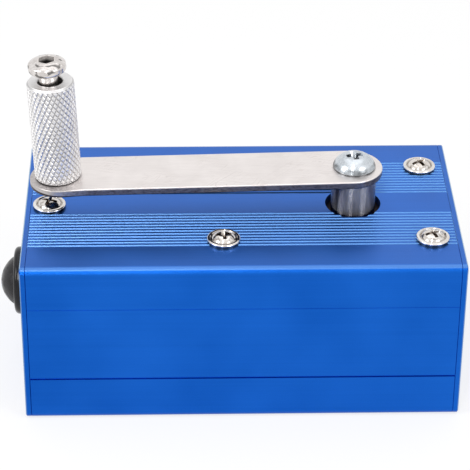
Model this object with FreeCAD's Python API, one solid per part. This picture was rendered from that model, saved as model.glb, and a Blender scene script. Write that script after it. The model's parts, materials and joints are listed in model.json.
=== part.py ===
import FreeCAD, Part
import math
import os

# Hand crank generator in an aluminium case, in millimetres.
# Origin: centre of the underside.  +X runs along the case to the crank shaft's end,
# +Y to the back, +Z up.  Each function makes one piece and each piece is one STEP file.

Vector = FreeCAD.Vector
Placement = FreeCAD.Placement
Rotation = FreeCAD.Rotation
ORIGIN = Vector(0, 0, 0)
X_AXIS = Vector(1, 0, 0)
Y_AXIS = Vector(0, 1, 0)
Z_AXIS = Vector(0, 0, 1)

# --- case: two extrusions closed by two end panels ---
CASE_LENGTH = 116.0
CASE_WIDTH = 66.0
CASE_HEIGHT = 47.0
WALL = 2.0
EDGE_RADIUS = 2.0
PANEL_THICKNESS = 1.6
PANEL_EDGE_BREAK = 0.3
PANEL_JOINT_BREAK = 0.2
SEAM_HEIGHT = 12.9
SEAM_GROOVE = 0.5
DIE_LINE_HEIGHT = 34.8
DIE_LINE_WIDTH = 0.3
DIE_LINE_DEPTH = 0.08
LIP_HEIGHT = 1.0
LIP_INSET = 0.1
LIP_THICKNESS = 1.3
LIP_ROOT = 2.5
RAIL_DEPTH = 2.0
RAIL_THICKNESS = 1.2
RIB_FIRST = 5.5
RIB_PITCH = 1.425
RIB_COUNT = 12
RIB_GROOVE_MOUTH = 0.95
RIB_GROOVE_FLOOR = 0.45
RIB_GROOVE_DEPTH = 0.28
PORT_WIDTH = 6.2
PORT_HEIGHT = 7.2
CORNER_SCREW_INSET = 5.0
BODY_END = CASE_LENGTH / 2 - PANEL_THICKNESS
HALF_WIDTH = CASE_WIDTH / 2
INNER_HALF_WIDTH = HALF_WIDTH - WALL
ROOF_UNDERSIDE = CASE_HEIGHT - WALL
OUTER_LEFT = -CASE_LENGTH / 2

# --- screws ---
M2_5 = 2.5
M3 = 3.0
M4 = 4.0
M5 = 5.0
CLEARANCE = 0.4
PAN_HEAD_RATIO = 0.36
PAN_HEAD = {"side": 0.45, "shoulder": (0.86, 0.82), "crown": (0.5, 0.97), "recess": 0.5}
DOMED_HEAD = {"side": 0.125, "shoulder": (0.78, 0.653), "crown": (0.42, 0.93), "recess": 0.42}
RECESS_SLOT_SHARE = 0.13
RECESS_DEPTH_SHARE = 0.6
RECESS_TIP_SHARE = 0.4
FLAT_RECESS_SHARE = 0.55
CORNER_HEAD_DIAMETER = 5.6
CORNER_HEAD_HEIGHT = 1.3
CORNER_SCREW_LENGTH = 9.0
COLLAR_DIAMETER = 8.85
COLLAR_EDGE_HEIGHT = 0.72
COLLAR_EDGE_ARC = (4.32, 0.93, 4.12, 1.04)
COLLAR_GROOVE = ((3.62, 1.06), (3.36, 0.8), (3.14, 0.92))
COLLAR_DOME_ARC = (2.25, 1.7, 0.9, 1.97)
COLLAR_HEAD_HEIGHT = 2.0
COLLAR_RECESS_SPAN = 5.0
COLLAR_RECESS_SLOT = 0.95
COLLAR_RECESS_DEPTH = 1.4
TOP_SCREW_LENGTH = 12.0
TOP_SCREW_TURNS = (8, 57, 22, 30, 71)

# --- crank ---
CRANK_X = 30.3
CRANK_Y = 0.0
CRANK_REST_ANGLE = 182.2
ROOF_HOLE_DIAMETER = 15.0
SHAFT_DIAMETER = 12.0
GEAR_SEAT_DIAMETER = 10.0
LOWER_JOURNAL_DIAMETER = 8.0
JOURNAL_END_BEVEL = 0.4
SHAFT_TOP_BEVEL = 0.3
SEAT_SHOULDER_RISE = 1.7
RUNNING_GAP = 0.03
RING_GAP = 0.6
RING_THICKNESS = 0.8
RING_DIAMETER = 12.0
RING_MOUTH = 3.6
RING_GROOVE_DEPTH = 0.5
TAIL_LENGTH = 1.4
ARM_UNDERSIDE = 56.4
ARM_THICKNESS = 2.0
ARM_WIDTH = 17.4
ARM_END_SETBACK = 1.15
ARM_EDGE_ROUND = 0.3
PIN_DISTANCE = 79.0
ARM_SET_ANGLE = 3.2
ARM_SET_DISTANCE = 6.5
SPIGOT_DIAMETER = 10.0
SPIGOT_FLATS = 8.0
SPIGOT_HEIGHT = 1.9
ARM_SCREW_HEAD = 11.4
ARM_SCREW_HEAD_HEIGHT = 3.6
ARM_SCREW_LENGTH = 12.0
ARM_SCREW_TURN = 12
TAP_SPARE = 1.0
ARM_TOP = ARM_UNDERSIDE + ARM_THICKNESS

# --- handle, measured along its own pin from the arm's top face ---
GRIP_DIAMETER = 12.5
GRIP_HEIGHT = 28.3
GRIP_LEAN = 2.4
GRIP_SEAT_GAP = 0.2
GRIP_TOP_BEVEL = 0.55
GRIP_FOOT_BEVEL = 0.25
GRIP_BORE = 6.6
GRIP_BORE_BEVEL = 0.25
PIN_DIAMETER = 5.0
PIN_NECK_BEVEL = 0.3
PIN_HEAD_BOTTOM = 31.2
PIN_HEAD_HEIGHT = 3.3
PIN_HEAD_STEPS = ((3.9, 0.0), (4.7, 0.25, 4.98, 0.9), (4.98, 1.75), (4.82, 2.25, 4.35, 2.57),
                  (3.35, 3.04, 2.3, 3.25), (0.0, PIN_HEAD_HEIGHT))
PIN_SOCKET_FLATS = 4.0
PIN_SOCKET_DEPTH = 2.4

# --- gearbox plates and pillars ---
PILLAR_X = (-5.0, 50.1)
PILLAR_Y = (-18.8, 18.8)
PILLAR_DIAMETER = 7.0
PILLAR_TAP_DEPTH = 8.0
PILLAR_SCREW_LENGTH = 9.0
PILLAR_SCREW_HEAD = 7.0
PLATE_HALF_WIDTH = 24.5
PLATE_RIGHT = 54.5
PLATE_CORNER = 3.0
TOP_PLATE_LEFT = -11.0
TOP_PLATE_THICKNESS = 3.0
BOTTOM_PLATE_LEFT = -33.0
BOTTOM_PLATE_Z = 14.0
BOTTOM_PLATE_THICKNESS = 2.5
COVER_PLATE_Z = 4.0
COVER_PLATE_THICKNESS = 2.0
COVER_PLATE_X = (-31.0, 20.0)
COVER_PLATE_Y = (-19.0, 22.5)
SPACER_PLACES = ((16.0, -15.0), (16.0, 15.0), (-27.0, -14.5), (-27.0, 18.0))
SPACER_DIAMETER = 5.0
SPACER_TAP_DEPTH = 5.0
COVER_SCREW_LENGTH = 6.0
COVER_SCREW_HEAD = 4.5
COVER_SCREW_HEAD_HEIGHT = 1.5
TOP_PLATE_Z = ROOF_UNDERSIDE - TOP_PLATE_THICKNESS
BOTTOM_PLATE_TOP = BOTTOM_PLATE_Z + BOTTOM_PLATE_THICKNESS
COVER_PLATE_TOP = COVER_PLATE_Z + COVER_PLATE_THICKNESS
RING_HIGH = BOTTOM_PLATE_Z - RING_GAP
RING_LOW = RING_HIGH - RING_THICKNESS

# --- bushes ---
TOP_BUSH_OUTER = 18.0
TOP_BUSH_FLANGE = 22.0
LOWER_BUSH_OUTER = 11.0
LOWER_BUSH_FLANGE = 14.0
SHAFT_FLANGE_THICKNESS = 1.5
ARBOR_BUSH_OUTER = 7.0
ARBOR_BUSH_FLANGE = 9.0
ARBOR_FLANGE_THICKNESS = 0.8
SMALL_BUSH_OUTER = 6.0
ROOF_GAP = 0.1

# --- gear train: module, teeth of wheel and pinion, face heights ---
PRESSURE_ANGLE = math.radians(20)
ADDENDUM = 0.75
DEDENDUM = 1.0
BACKLASH = 0.06
PINION_TEETH = 12
FIRST_MODULE = 0.75
FIRST_TEETH = 60
FIRST_WHEEL_Z = (19.0, 24.0)
FIRST_PINION_Z = (18.4, 24.6)
FIRST_HOLES = (14.5, 6, 7.0)
DRIVE_HUB_DIAMETER = 18.0
DRIVE_HUB_TOP = 28.8
GRUB_HEIGHT = 26.5
GRUB_FLAT_DEPTH = 0.4
GRUB_FLAT_HALF_WIDTH = 2.5
GRUB_SOCKET_FLATS = 1.5
GRUB_SOCKET_DEPTH = 1.5
SECOND_MODULE = 0.6
SECOND_TEETH = 48
SECOND_WHEEL_Z = (10.0, 13.0)
SECOND_PINION_Z = (9.5, 13.5)
SECOND_HOLES = (8.5, 6, 4.5)
SECOND_HUB_DIAMETER = 9.0
SECOND_HUB_HEIGHT = 1.5
THIRD_MODULE = 0.5
THIRD_TEETH = 40
THIRD_WHEEL_Z = (6.8, 9.0)
THIRD_PINION_Z = (6.5, 9.3)
THIRD_HOLES = (5.8, 5, 3.0)
FIRST_ARBOR_DIAMETER = 4.0
SMALL_ARBOR_DIAMETER = 3.0
ARBOR_FOOT_GAP = 0.2
FIRST_ARBOR_HEAD_GAP = 0.6
SECOND_ARBOR_HEAD_GAP = 0.4
ARBOR_TO_GENERATOR = 20.0

# --- generator ---
GENERATOR_RADIUS = 14.0
GENERATOR_TOP = 39.0
CASE_SHEET = 1.2
CASE_ROUND = 0.8
END_CAP_THICKNESS = 3.4
END_CAP_TOP = BOTTOM_PLATE_TOP + END_CAP_THICKNESS
END_CAP_SPIGOT_HEIGHT = 1.2
END_CAP_SPIGOT_WALL = 1.0
BEARING_OUTER = 7.0
BEARING_HEIGHT = 3.0
BEARING_NEST_WALL = 1.5
BEARING_END_GAP = 0.2
SHAFT_HOLE_DIAMETER = 4.0
SHAFT_HEAD_GAP = 0.6
GENERATOR_SCREW_CIRCLE = 9.5
GENERATOR_SCREW_ANGLES = (135, 315)
GENERATOR_SCREW_LENGTH = 5.0
GENERATOR_SCREW_HEAD = 4.7
GENERATOR_SCREW_HEAD_HEIGHT = 1.3
ROTOR_DIAMETER = 16.0
ROTOR_Z = (22.5, 34.0)
STATOR_BORE = 17.2
STATOR_SHOE = 0.8
STATOR_BACK = 1.5
STATOR_Z = (23.0, 33.5)
STATOR_TEETH = 6
TOOTH_WIDTH = 3.6
SHOE_GAP = 1.2
COIL_WIDTH = 7.2
COIL_OVERHANG = 1.3
COIL_GAP = 0.1

# --- push button on the left end panel ---
BUTTON_Y = -16.0
BUTTON_Z = 33.3
BUTTON_THREAD = 16.0
BEZEL_DIAMETER = 18.0
BEZEL_ROUND = 1.2
BEZEL_HEIGHT = 2.4
CAP_DIAMETER = 13.0
CAP_BORE_GAP = 0.08
CAP_DOME_HEIGHT = 3.7
CAP_SKIRT = 6.0
CAP_WALL = 1.6
CAP_WEB = 1.2
HOUSING_DEPTH = 16.4
HOUSING_BACK_WALL = 1.6
NUT_DIAMETER = 19.4
NUT_HALF_FLATS = 8.9
NUT_THICKNESS = 3.0
SPRING_DIAMETER = 8.0
SPRING_WIRE = 0.6
SPRING_TURNS = 5
TERMINAL_HALF_SPACING = 3.0
TERMINAL_SIZE = (3.5, 0.8, 2.0)

# --- circuit board and sockets in the left bay ---
BOARD_Z = 15.3
BOARD_THICKNESS = 1.6
BOARD_X = (-55.8, -34.0)
BOARD_HALF_WIDTH = 30.7
BOARD_TOP = BOARD_Z + BOARD_THICKNESS
BOARD_SCREW_X = -51.5
BOARD_SCREW_Y = -0.7
BOARD_SCREW_LENGTH = 6.0
BOARD_SCREW_HEAD = 5.5
BOARD_SCREW_HEAD_HEIGHT = 2.0
BOARD_PILLAR_DIAMETER = 7.0
BOARD_PILLAR_UPPER_TAP = 11.0
BOARD_PILLAR_LOWER_TAP = 6.0
USB_Y = 11.6
USB_WIDTH = 13.1
USB_HEIGHT = 5.7
USB_SHEET = 0.3
USB_DEPTH = 14.0
USB_TONGUE = (10.4, 11.1, 1.84)
USB_ROOT_LENGTH = 3.0
USB_BLADE_DROP = 0.75
DC_Y = 24.1
DC_WIDTH = 9.0
DC_HEIGHT = 11.0
DC_DEPTH = 13.0
DC_BARREL = 7.8
DC_BORE = 6.2
DC_BORE_DEPTH = 9.0
DC_PIN = 2.0
DC_PIN_TIP = -0.8
DC_PIN_SHOULDER = -1.4
RECTIFIER_X = (-50.0, -42.0)
RECTIFIER_Y = (-21.5, -14.5)
RECTIFIER_HEIGHT = 3.0
CAPACITOR_PLACE = (-39.5, 0.6)
CAPACITOR_DIAMETER = 8.0
CAPACITOR_HEIGHT = 14.0
CAPACITOR_ROUND = 0.6
REGULATOR_X = (-42.0, -35.0)
REGULATOR_Y = (7.0, 13.0)
REGULATOR_HEIGHT = 2.4
REGULATOR_BEVEL = 0.3
INDUCTOR_PLACE = (-38.6, 20.0)
INDUCTOR_FLANGE = 8.0
INDUCTOR_CORE = 6.4
INDUCTOR_STEPS = (1.0, 4.0, 5.0)

# --- internal leads ---
LEAD_DIAMETER = 1.2
GENERATOR_LEAD_Y = (-6.5, -8.5, -10.5)
PHASE_LEAD_OFFSET = 7.0
PHASE_LEAD_RISE = 3.0
PHASE_LEAD_DROP_GAP = 0.7
PHASE_LEAD_BENDS = (10.0, 5.0)
PHASE_PAD_INSET = 2.2
SWITCH_LEAD_RUN = 2.0
SWITCH_LEAD_BENDS = (8.0, 4.5)
SWITCH_PAD_INSET = 2.4
PATH_ARC_SHARE = 0.45

THROUGH = 200.0
TINY = 1e-6


# ---------------------------------------------------------------- general shapes

def cylinder(diameter, low, high, x=0.0, y=0.0):
    return Part.makeCylinder(diameter / 2, high - low, Vector(x, y, low))


def tube(outer, inner, low, high, x=0.0, y=0.0):
    return cylinder(outer, low, high, x, y).cut(cylinder(inner, low, high, x, y))


def block(x_span, y_span, z_span):
    size = [span[1] - span[0] for span in (x_span, y_span, z_span)]
    return Part.makeBox(size[0], size[1], size[2], Vector(x_span[0], y_span[0], z_span[0]))


def joined(shapes):
    first = shapes[0]
    return first.fuse(shapes[1:]).removeSplitter()


def group(shapes):
    return Part.makeCompound(shapes)


def edges_along(shape, axis, length):
    """Straight edges of the given length that run along an axis."""
    found = []
    for edge in shape.Edges:
        if abs(edge.Length - length) > TINY:
            continue
        direction = edge.tangentAt(edge.FirstParameter)
        if abs(abs(direction.dot(axis)) - 1) < TINY:
            found.append(edge)
    return found


def rounded_block(x_span, y_span, z_span, axis, radius):
    """Block whose four edges along one axis are rounded."""
    body = block(x_span, y_span, z_span)
    spans = {0: x_span, 1: y_span, 2: z_span}
    index = [abs(part) for part in axis].index(1)
    length = spans[index][1] - spans[index][0]
    return body.makeFillet(radius, edges_along(body, axis, length))


def profile_point(place):
    return Vector(place[0], 0, place[1])


def turned(start, *steps):
    """Solid of revolution about Z. A step is (r, z) for a line or (r, z, r, z) for an arc."""
    edges = []
    here = start
    for step in steps + (start,):
        there = step[-2:]
        if len(step) == 2:
            edge = Part.LineSegment(profile_point(here), profile_point(there))
        else:
            edge = Part.Arc(profile_point(here), profile_point(step[:2]), profile_point(there))
        edges.append(edge.toShape())
        here = there
    face = Part.Face(Part.Wire(edges))
    return face.revolve(ORIGIN, Z_AXIS, 360)


def placed(shape, placement):
    moved = shape.copy()
    moved.Placement = placement.multiply(moved.Placement)
    return moved


def along(direction, place):
    """Placement that stands a shape made about +Z at a place, pointing along a direction."""
    return Placement(place, Rotation(Z_AXIS, direction))


# ---------------------------------------------------------------- screws

def cross_recess(span, slot, depth, top):
    """Tapered cross-shaped recess cut down from the height top."""
    half = span / 2
    cone = Part.makeCone(half * RECESS_TIP_SHARE, half, depth, Vector(0, 0, top - depth))
    long_way = block((-half, half), (-slot / 2, slot / 2), (top - depth, top))
    short_way = block((-slot / 2, slot / 2), (-half, half), (top - depth, top))
    return cone.common(long_way.fuse(short_way))


def pan_screw(shank, length, head, height, form=PAN_HEAD):
    """Cross-recess screw, head up, underside of the head at z = 0."""
    radius = head / 2
    shoulder = (radius * form["shoulder"][0], height * form["shoulder"][1])
    crown = (radius * form["crown"][0], height * form["crown"][1])
    body = turned((0, 0), (radius, 0), (radius, height * form["side"]), shoulder + crown, (0, height))
    slot = head * RECESS_SLOT_SHARE
    recess = cross_recess(head * form["recess"], slot, height * RECESS_DEPTH_SHARE, height)
    return body.fuse(cylinder(shank, -length, 0)).removeSplitter().cut(recess)


def collar_screw(shank, length):
    """Cross-recess screw whose low domed head is ringed by a collar, underside at z = 0."""
    collar = COLLAR_DIAMETER / 2
    top = COLLAR_HEAD_HEIGHT
    body = turned((0, 0), (collar, 0), (collar, COLLAR_EDGE_HEIGHT), COLLAR_EDGE_ARC,
                  *COLLAR_GROOVE, COLLAR_DOME_ARC, (0, top))
    recess = cross_recess(COLLAR_RECESS_SPAN, COLLAR_RECESS_SLOT, COLLAR_RECESS_DEPTH, top)
    return body.fuse(cylinder(shank, -length, 0)).removeSplitter().cut(recess)


def countersunk_blank(shank, length, head, height):
    """Flat head screw without its recess, top of the head at z = 0."""
    cone = Part.makeCone(shank / 2, head / 2, height, Vector(0, 0, -height))
    return cone.fuse(cylinder(shank, -length, -height)).removeSplitter()


def countersunk_screw(shank, length, head, height):
    depth = height * RECESS_DEPTH_SHARE
    recess = cross_recess(head * FLAT_RECESS_SHARE, head * RECESS_SLOT_SHARE, depth, 0)
    return countersunk_blank(shank, length, head, height).cut(recess)


# ---------------------------------------------------------------- case

def case_tube():
    """The two extrusions as one rounded rectangular tube with open ends."""
    x_span = (-BODY_END, BODY_END)
    outer = rounded_block(x_span, (-HALF_WIDTH, HALF_WIDTH), (0, CASE_HEIGHT), X_AXIS, EDGE_RADIUS)
    inner = block(x_span, (-INNER_HALF_WIDTH, INNER_HALF_WIDTH), (WALL, ROOF_UNDERSIDE))
    return outer.cut(inner)


def corner_places():
    """Centres of the four end panel screws, as (y, z)."""
    places = []
    for y in (CORNER_SCREW_INSET - HALF_WIDTH, HALF_WIDTH - CORNER_SCREW_INSET):
        for z in (CORNER_SCREW_INSET, CASE_HEIGHT - CORNER_SCREW_INSET):
            places.append((y, z))
    return places


def with_ports(shell, upper):
    """Adds the tapped screw ports in the shell's two inner corners."""
    ports = []
    holes = []
    for y, z in corner_places():
        if (z > SEAM_HEIGHT) != upper:
            continue
        if upper:
            z_span = (ROOF_UNDERSIDE - PORT_HEIGHT, ROOF_UNDERSIDE)
        else:
            z_span = (WALL, WALL + PORT_HEIGHT)
        inner = INNER_HALF_WIDTH - PORT_WIDTH
        y_span = (inner, INNER_HALF_WIDTH) if y > 0 else (-INNER_HALF_WIDTH, -inner)
        ports.append(block((-BODY_END, BODY_END), y_span, z_span))
        hole = cylinder(M3, -THROUGH, THROUGH)
        holes.append(placed(hole, along(X_AXIS, Vector(0, y, z))))
    return joined([shell] + ports).cut(holes)


def side_grooves(height, width, depth):
    """Two shallow grooves along the outside of the case at one height."""
    z_span = (height - width / 2, height + width / 2)
    span = (-BODY_END, BODY_END)
    front = block(span, (-HALF_WIDTH, -HALF_WIDTH + depth), z_span)
    back = block(span, (HALF_WIDTH - depth, HALF_WIDTH), z_span)
    return [front, back]


def roof_ribs():
    """Fine grooves with sloped sides that leave the ribs on both halves of the roof."""
    grooves = []
    for side in (-1, 1):
        for index in range(RIB_COUNT):
            middle = side * (RIB_FIRST + index * RIB_PITCH)
            floor = CASE_HEIGHT - RIB_GROOVE_DEPTH
            corners = [(-RIB_GROOVE_MOUTH, CASE_HEIGHT), (-RIB_GROOVE_FLOOR, floor),
                       (RIB_GROOVE_FLOOR, floor), (RIB_GROOVE_MOUTH, CASE_HEIGHT),
                       (-RIB_GROOVE_MOUTH, CASE_HEIGHT)]
            section = [Vector(-BODY_END, middle + width / 2, z) for width, z in corners]
            groove = Part.Face(Part.makePolygon(section))
            grooves.append(groove.extrude(Vector(2 * BODY_END, 0, 0)))
    return grooves


def top_screw_places():
    """Centres of the collar screws on the roof: four pillars and the board pillar."""
    places = [(x, y) for x in PILLAR_X for y in PILLAR_Y]
    return places + [(BOARD_SCREW_X, BOARD_SCREW_Y)]


def upper_shell():
    x_span = (-BODY_END, BODY_END)
    upper_part = block(x_span, (-HALF_WIDTH, HALF_WIDTH), (SEAM_HEIGHT, CASE_HEIGHT))
    shell = case_tube().common(upper_part)
    rails = []
    for side in (-1, 1):
        ends = sorted((side * INNER_HALF_WIDTH, side * (INNER_HALF_WIDTH - RAIL_DEPTH)))
        low = BOARD_Z - CLEARANCE / 4
        high = BOARD_TOP + CLEARANCE / 4
        rails.append(block(x_span, ends, (low - RAIL_THICKNESS, low)))
        rails.append(block(x_span, ends, (high, high + RAIL_THICKNESS)))
    shell = with_ports(joined([shell] + rails), True)
    shell = shell.cut(side_grooves(SEAM_HEIGHT, SEAM_GROOVE, SEAM_GROOVE))
    shell = shell.cut(side_grooves(DIE_LINE_HEIGHT, DIE_LINE_WIDTH, DIE_LINE_DEPTH))
    shell = shell.cut(roof_ribs())
    holes = [cylinder(M4 + CLEARANCE, ROOF_UNDERSIDE, CASE_HEIGHT, x, y)
             for x, y in top_screw_places()]
    holes.append(cylinder(ROOF_HOLE_DIAMETER, ROOF_UNDERSIDE, CASE_HEIGHT, CRANK_X, CRANK_Y))
    return shell.cut(holes)


def lower_shell():
    x_span = (-BODY_END, BODY_END)
    shell = case_tube().common(block(x_span, (-HALF_WIDTH, HALF_WIDTH), (0, SEAM_HEIGHT)))
    lips = []
    outside = INNER_HALF_WIDTH - LIP_INSET
    inside = outside - LIP_THICKNESS
    for side in (-1, 1):
        root = sorted((side * INNER_HALF_WIDTH, side * inside))
        lips.append(block(x_span, root, (SEAM_HEIGHT - LIP_ROOT, SEAM_HEIGHT)))
        blade = sorted((side * outside, side * inside))
        lips.append(block(x_span, blade, (SEAM_HEIGHT, SEAM_HEIGHT + LIP_HEIGHT)))
    shell = with_ports(joined([shell] + lips), False)
    return shell.cut(side_grooves(SEAM_HEIGHT, SEAM_GROOVE, SEAM_GROOVE))


def end_panel_screw_solids(side, recessed):
    """Four flush screws of one end panel; side is -1 for the left end and 1 for the right."""
    make = countersunk_screw if recessed else countersunk_blank
    screw = make(M3, CORNER_SCREW_LENGTH, CORNER_HEAD_DIAMETER, CORNER_HEAD_HEIGHT)
    solids = []
    for y, z in corner_places():
        face = Vector(side * CASE_LENGTH / 2, y, z)
        solids.append(placed(screw, along(Vector(side, 0, 0), face)))
    return solids


def blank_panel(side):
    """End panel with its four countersunk screw holes."""
    outer_face = side * CASE_LENGTH / 2
    x_span = tuple(sorted((outer_face, side * BODY_END)))
    panel = rounded_block(x_span, (-HALF_WIDTH, HALF_WIDTH), (0, CASE_HEIGHT), X_AXIS, EDGE_RADIUS)
    for face_x, size in ((outer_face, PANEL_EDGE_BREAK), (side * BODY_END, PANEL_JOINT_BREAK)):
        rim = []
        for edge in panel.Edges:
            if all(abs(vertex.Point.x - face_x) < TINY for vertex in edge.Vertexes):
                rim.append(edge)
        panel = panel.makeChamfer(size, rim)
    return panel.cut(end_panel_screw_solids(side, False))


def left_end_panel():
    x_span = (OUTER_LEFT, -BODY_END)
    button_axis = along(X_AXIS, Vector(0, BUTTON_Y, BUTTON_Z))
    button_hole = placed(cylinder(BUTTON_THREAD, -THROUGH, THROUGH), button_axis)
    socket_axis = along(X_AXIS, Vector(0, DC_Y, BOARD_TOP + DC_HEIGHT / 2))
    margin = CLEARANCE / 2
    dc_hole = placed(cylinder(DC_BARREL + margin, -THROUGH, THROUGH), socket_axis)
    usb_y = (USB_Y - USB_WIDTH / 2 - margin, USB_Y + USB_WIDTH / 2 + margin)
    usb_hole = block(x_span, usb_y, (BOARD_TOP - margin, BOARD_TOP + USB_HEIGHT + margin))
    return blank_panel(-1).cut([button_hole, dc_hole, usb_hole])


def right_end_panel():
    return blank_panel(1)


def end_panel_screws():
    return group(end_panel_screw_solids(-1, True) + end_panel_screw_solids(1, True))


def top_screws():
    """Each head stands on its seat, turned by its own angle as a fitter leaves it."""
    screws = []
    for turn_angle, (x, y) in zip(TOP_SCREW_TURNS, top_screw_places()):
        turn = Placement(Vector(x, y, CASE_HEIGHT), Rotation(Z_AXIS, turn_angle))
        screws.append(placed(collar_screw(M4, TOP_SCREW_LENGTH), turn))
    return group(screws)


# ---------------------------------------------------------------- gear teeth

def involute(angle):
    return math.tan(angle) - angle


def polar(radius, angle):
    return Vector(radius * math.cos(angle), radius * math.sin(angle), 0)


def gear_blank(teeth, module, z_span, phase):
    """Spur gear about Z with one tooth centred on the angle phase (radians)."""
    pitch = teeth * module / 2
    base = pitch * math.cos(PRESSURE_ANGLE)
    tip = pitch + ADDENDUM * module
    root = pitch - DEDENDUM * module
    start = max(base, root)
    half_pitch = math.pi / (2 * teeth) - BACKLASH / (2 * pitch)

    def half_angle(radius):
        return half_pitch + involute(PRESSURE_ANGLE) - involute(math.acos(min(1.0, base / radius)))

    middle = (start + tip) / 2
    step = 2 * math.pi / teeth
    edges = []
    for tooth in range(teeth):
        centre = phase + tooth * step
        rise = [polar(radius, centre - half_angle(radius)) for radius in (start, middle, tip)]
        fall = [polar(radius, centre + half_angle(radius)) for radius in (tip, middle, start)]
        foot_in = polar(root, centre - half_angle(start))
        foot_out = polar(root, centre + half_angle(start))
        next_foot = polar(root, centre + step - half_angle(start))
        if start > root:
            edges.append(Part.LineSegment(foot_in, rise[0]).toShape())
        edges.append(Part.Arc(rise[0], rise[1], rise[2]).toShape())
        edges.append(Part.Arc(rise[2], polar(tip, centre), fall[0]).toShape())
        edges.append(Part.Arc(fall[0], fall[1], fall[2]).toShape())
        if start > root:
            edges.append(Part.LineSegment(fall[2], foot_out).toShape())
        edges.append(Part.Arc(foot_out, polar(root, centre + step / 2), next_foot).toShape())
    face = Part.Face(Part.Wire(edges))
    face.translate(Vector(0, 0, z_span[0]))
    return face.extrude(Vector(0, 0, z_span[1] - z_span[0]))


def meshing_phase(teeth, phase, mate_teeth, direction):
    """Phase of a mate whose centre lies in a direction, so that its gap takes a tooth."""
    share = ((direction - phase) / (2 * math.pi / teeth)) % 1.0
    return direction + math.pi - (0.5 - share) * 2 * math.pi / mate_teeth


def centre_distance(module, teeth):
    return module * (teeth + PINION_TEETH) / 2


CRANK_CENTRE = Vector(CRANK_X, CRANK_Y, 0)
FIRST_CENTRE = CRANK_CENTRE - Vector(centre_distance(FIRST_MODULE, FIRST_TEETH), 0, 0)
GENERATOR_CENTRE = FIRST_CENTRE - Vector(ARBOR_TO_GENERATOR, 0, 0)
SECOND_DISTANCE = centre_distance(SECOND_MODULE, SECOND_TEETH)
THIRD_DISTANCE = centre_distance(THIRD_MODULE, THIRD_TEETH)
SECOND_COSINE = (SECOND_DISTANCE ** 2 + ARBOR_TO_GENERATOR ** 2 - THIRD_DISTANCE ** 2)
SECOND_DIRECTION = math.pi - math.acos(SECOND_COSINE / (2 * SECOND_DISTANCE * ARBOR_TO_GENERATOR))
SECOND_CENTRE = FIRST_CENTRE + polar(SECOND_DISTANCE, SECOND_DIRECTION)
THIRD_LINE = GENERATOR_CENTRE - SECOND_CENTRE
THIRD_DIRECTION = math.atan2(THIRD_LINE.y, THIRD_LINE.x)
FIRST_PHASE = 0.0
FIRST_PINION_PHASE = meshing_phase(FIRST_TEETH, FIRST_PHASE, PINION_TEETH, math.pi)
SECOND_PINION_PHASE = meshing_phase(SECOND_TEETH, FIRST_PINION_PHASE, PINION_TEETH, SECOND_DIRECTION)
THIRD_PINION_PHASE = meshing_phase(THIRD_TEETH, SECOND_PINION_PHASE, PINION_TEETH, THIRD_DIRECTION)


def at_centre(shape, centre):
    return placed(shape, Placement(centre, Rotation()))


def lightened(wheel, z_span, circle, count, diameter):
    """Wheel with round lightening holes on a circle between its hub and its rim."""
    cuts = []
    for index in range(count):
        middle = polar(circle, 2 * math.pi * (index + 0.5) / count)
        cuts.append(cylinder(diameter, z_span[0], z_span[1], middle.x, middle.y))
    return wheel.cut(cuts)


# ---------------------------------------------------------------- crank

def crank_shaft():
    """Stepped shaft: lower journal, gear seat, main journal and flatted spigot."""
    tail = RING_LOW - TAIL_LENGTH
    journal = LOWER_JOURNAL_DIAMETER / 2
    groove = journal - RING_GROOVE_DEPTH
    seat = GEAR_SEAT_DIAMETER / 2
    main = SHAFT_DIAMETER / 2
    shoulder = BOTTOM_PLATE_TOP + SEAT_SHOULDER_RISE
    shaft = turned((0, tail), (journal - JOURNAL_END_BEVEL, tail), (journal, tail + JOURNAL_END_BEVEL),
                   (journal, RING_LOW), (groove, RING_LOW), (groove, RING_HIGH),
                   (journal, RING_HIGH), (journal, shoulder), (seat, shoulder),
                   (seat, DRIVE_HUB_TOP), (main, DRIVE_HUB_TOP),
                   (main, ARM_UNDERSIDE - SHAFT_TOP_BEVEL),
                   (main - SHAFT_TOP_BEVEL, ARM_UNDERSIDE), (0, ARM_UNDERSIDE))
    shaft = shaft.fuse(spigot(ARM_UNDERSIDE, ARM_UNDERSIDE + SPIGOT_HEIGHT)).removeSplitter()
    tapped = cylinder(M5, ARM_TOP - ARM_SCREW_LENGTH - TAP_SPARE, ARM_TOP)
    flat_z = (FIRST_WHEEL_Z[1] + GRUB_FLAT_DEPTH, DRIVE_HUB_TOP)
    grub_flat = block((seat - GRUB_FLAT_DEPTH, main), (-GRUB_FLAT_HALF_WIDTH, GRUB_FLAT_HALF_WIDTH), flat_z)
    return at_centre(shaft.cut([tapped, grub_flat]), CRANK_CENTRE)


def spigot(low, high):
    """Round spigot with two flats, in the crank arm's direction."""
    half = SPIGOT_FLATS / 2
    blank = cylinder(SPIGOT_DIAMETER, low, high)
    flats = blank.common(block((-THROUGH, THROUGH), (-half, half), (low, high)))
    return placed(flats, Placement(ORIGIN, Rotation(Z_AXIS, CRANK_REST_ANGLE)))


def drive_gear():
    wheel = gear_blank(FIRST_TEETH, FIRST_MODULE, FIRST_WHEEL_Z, FIRST_PHASE)
    wheel = lightened(wheel, FIRST_WHEEL_Z, *FIRST_HOLES)
    hub = cylinder(DRIVE_HUB_DIAMETER, FIRST_WHEEL_Z[1], DRIVE_HUB_TOP)
    bore = cylinder(GEAR_SEAT_DIAMETER, 0, CASE_HEIGHT)
    gear = joined([wheel, hub]).cut(bore).cut(grub_screw_blank())
    return at_centre(gear, CRANK_CENTRE)


def grub_screw_blank():
    """Radial grub screw in the drive gear's hub, without its socket."""
    inner = GEAR_SEAT_DIAMETER / 2 - GRUB_FLAT_DEPTH
    screw = cylinder(M3, inner, DRIVE_HUB_DIAMETER / 2)
    return placed(screw, along(X_AXIS, Vector(0, 0, GRUB_HEIGHT)))


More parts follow.
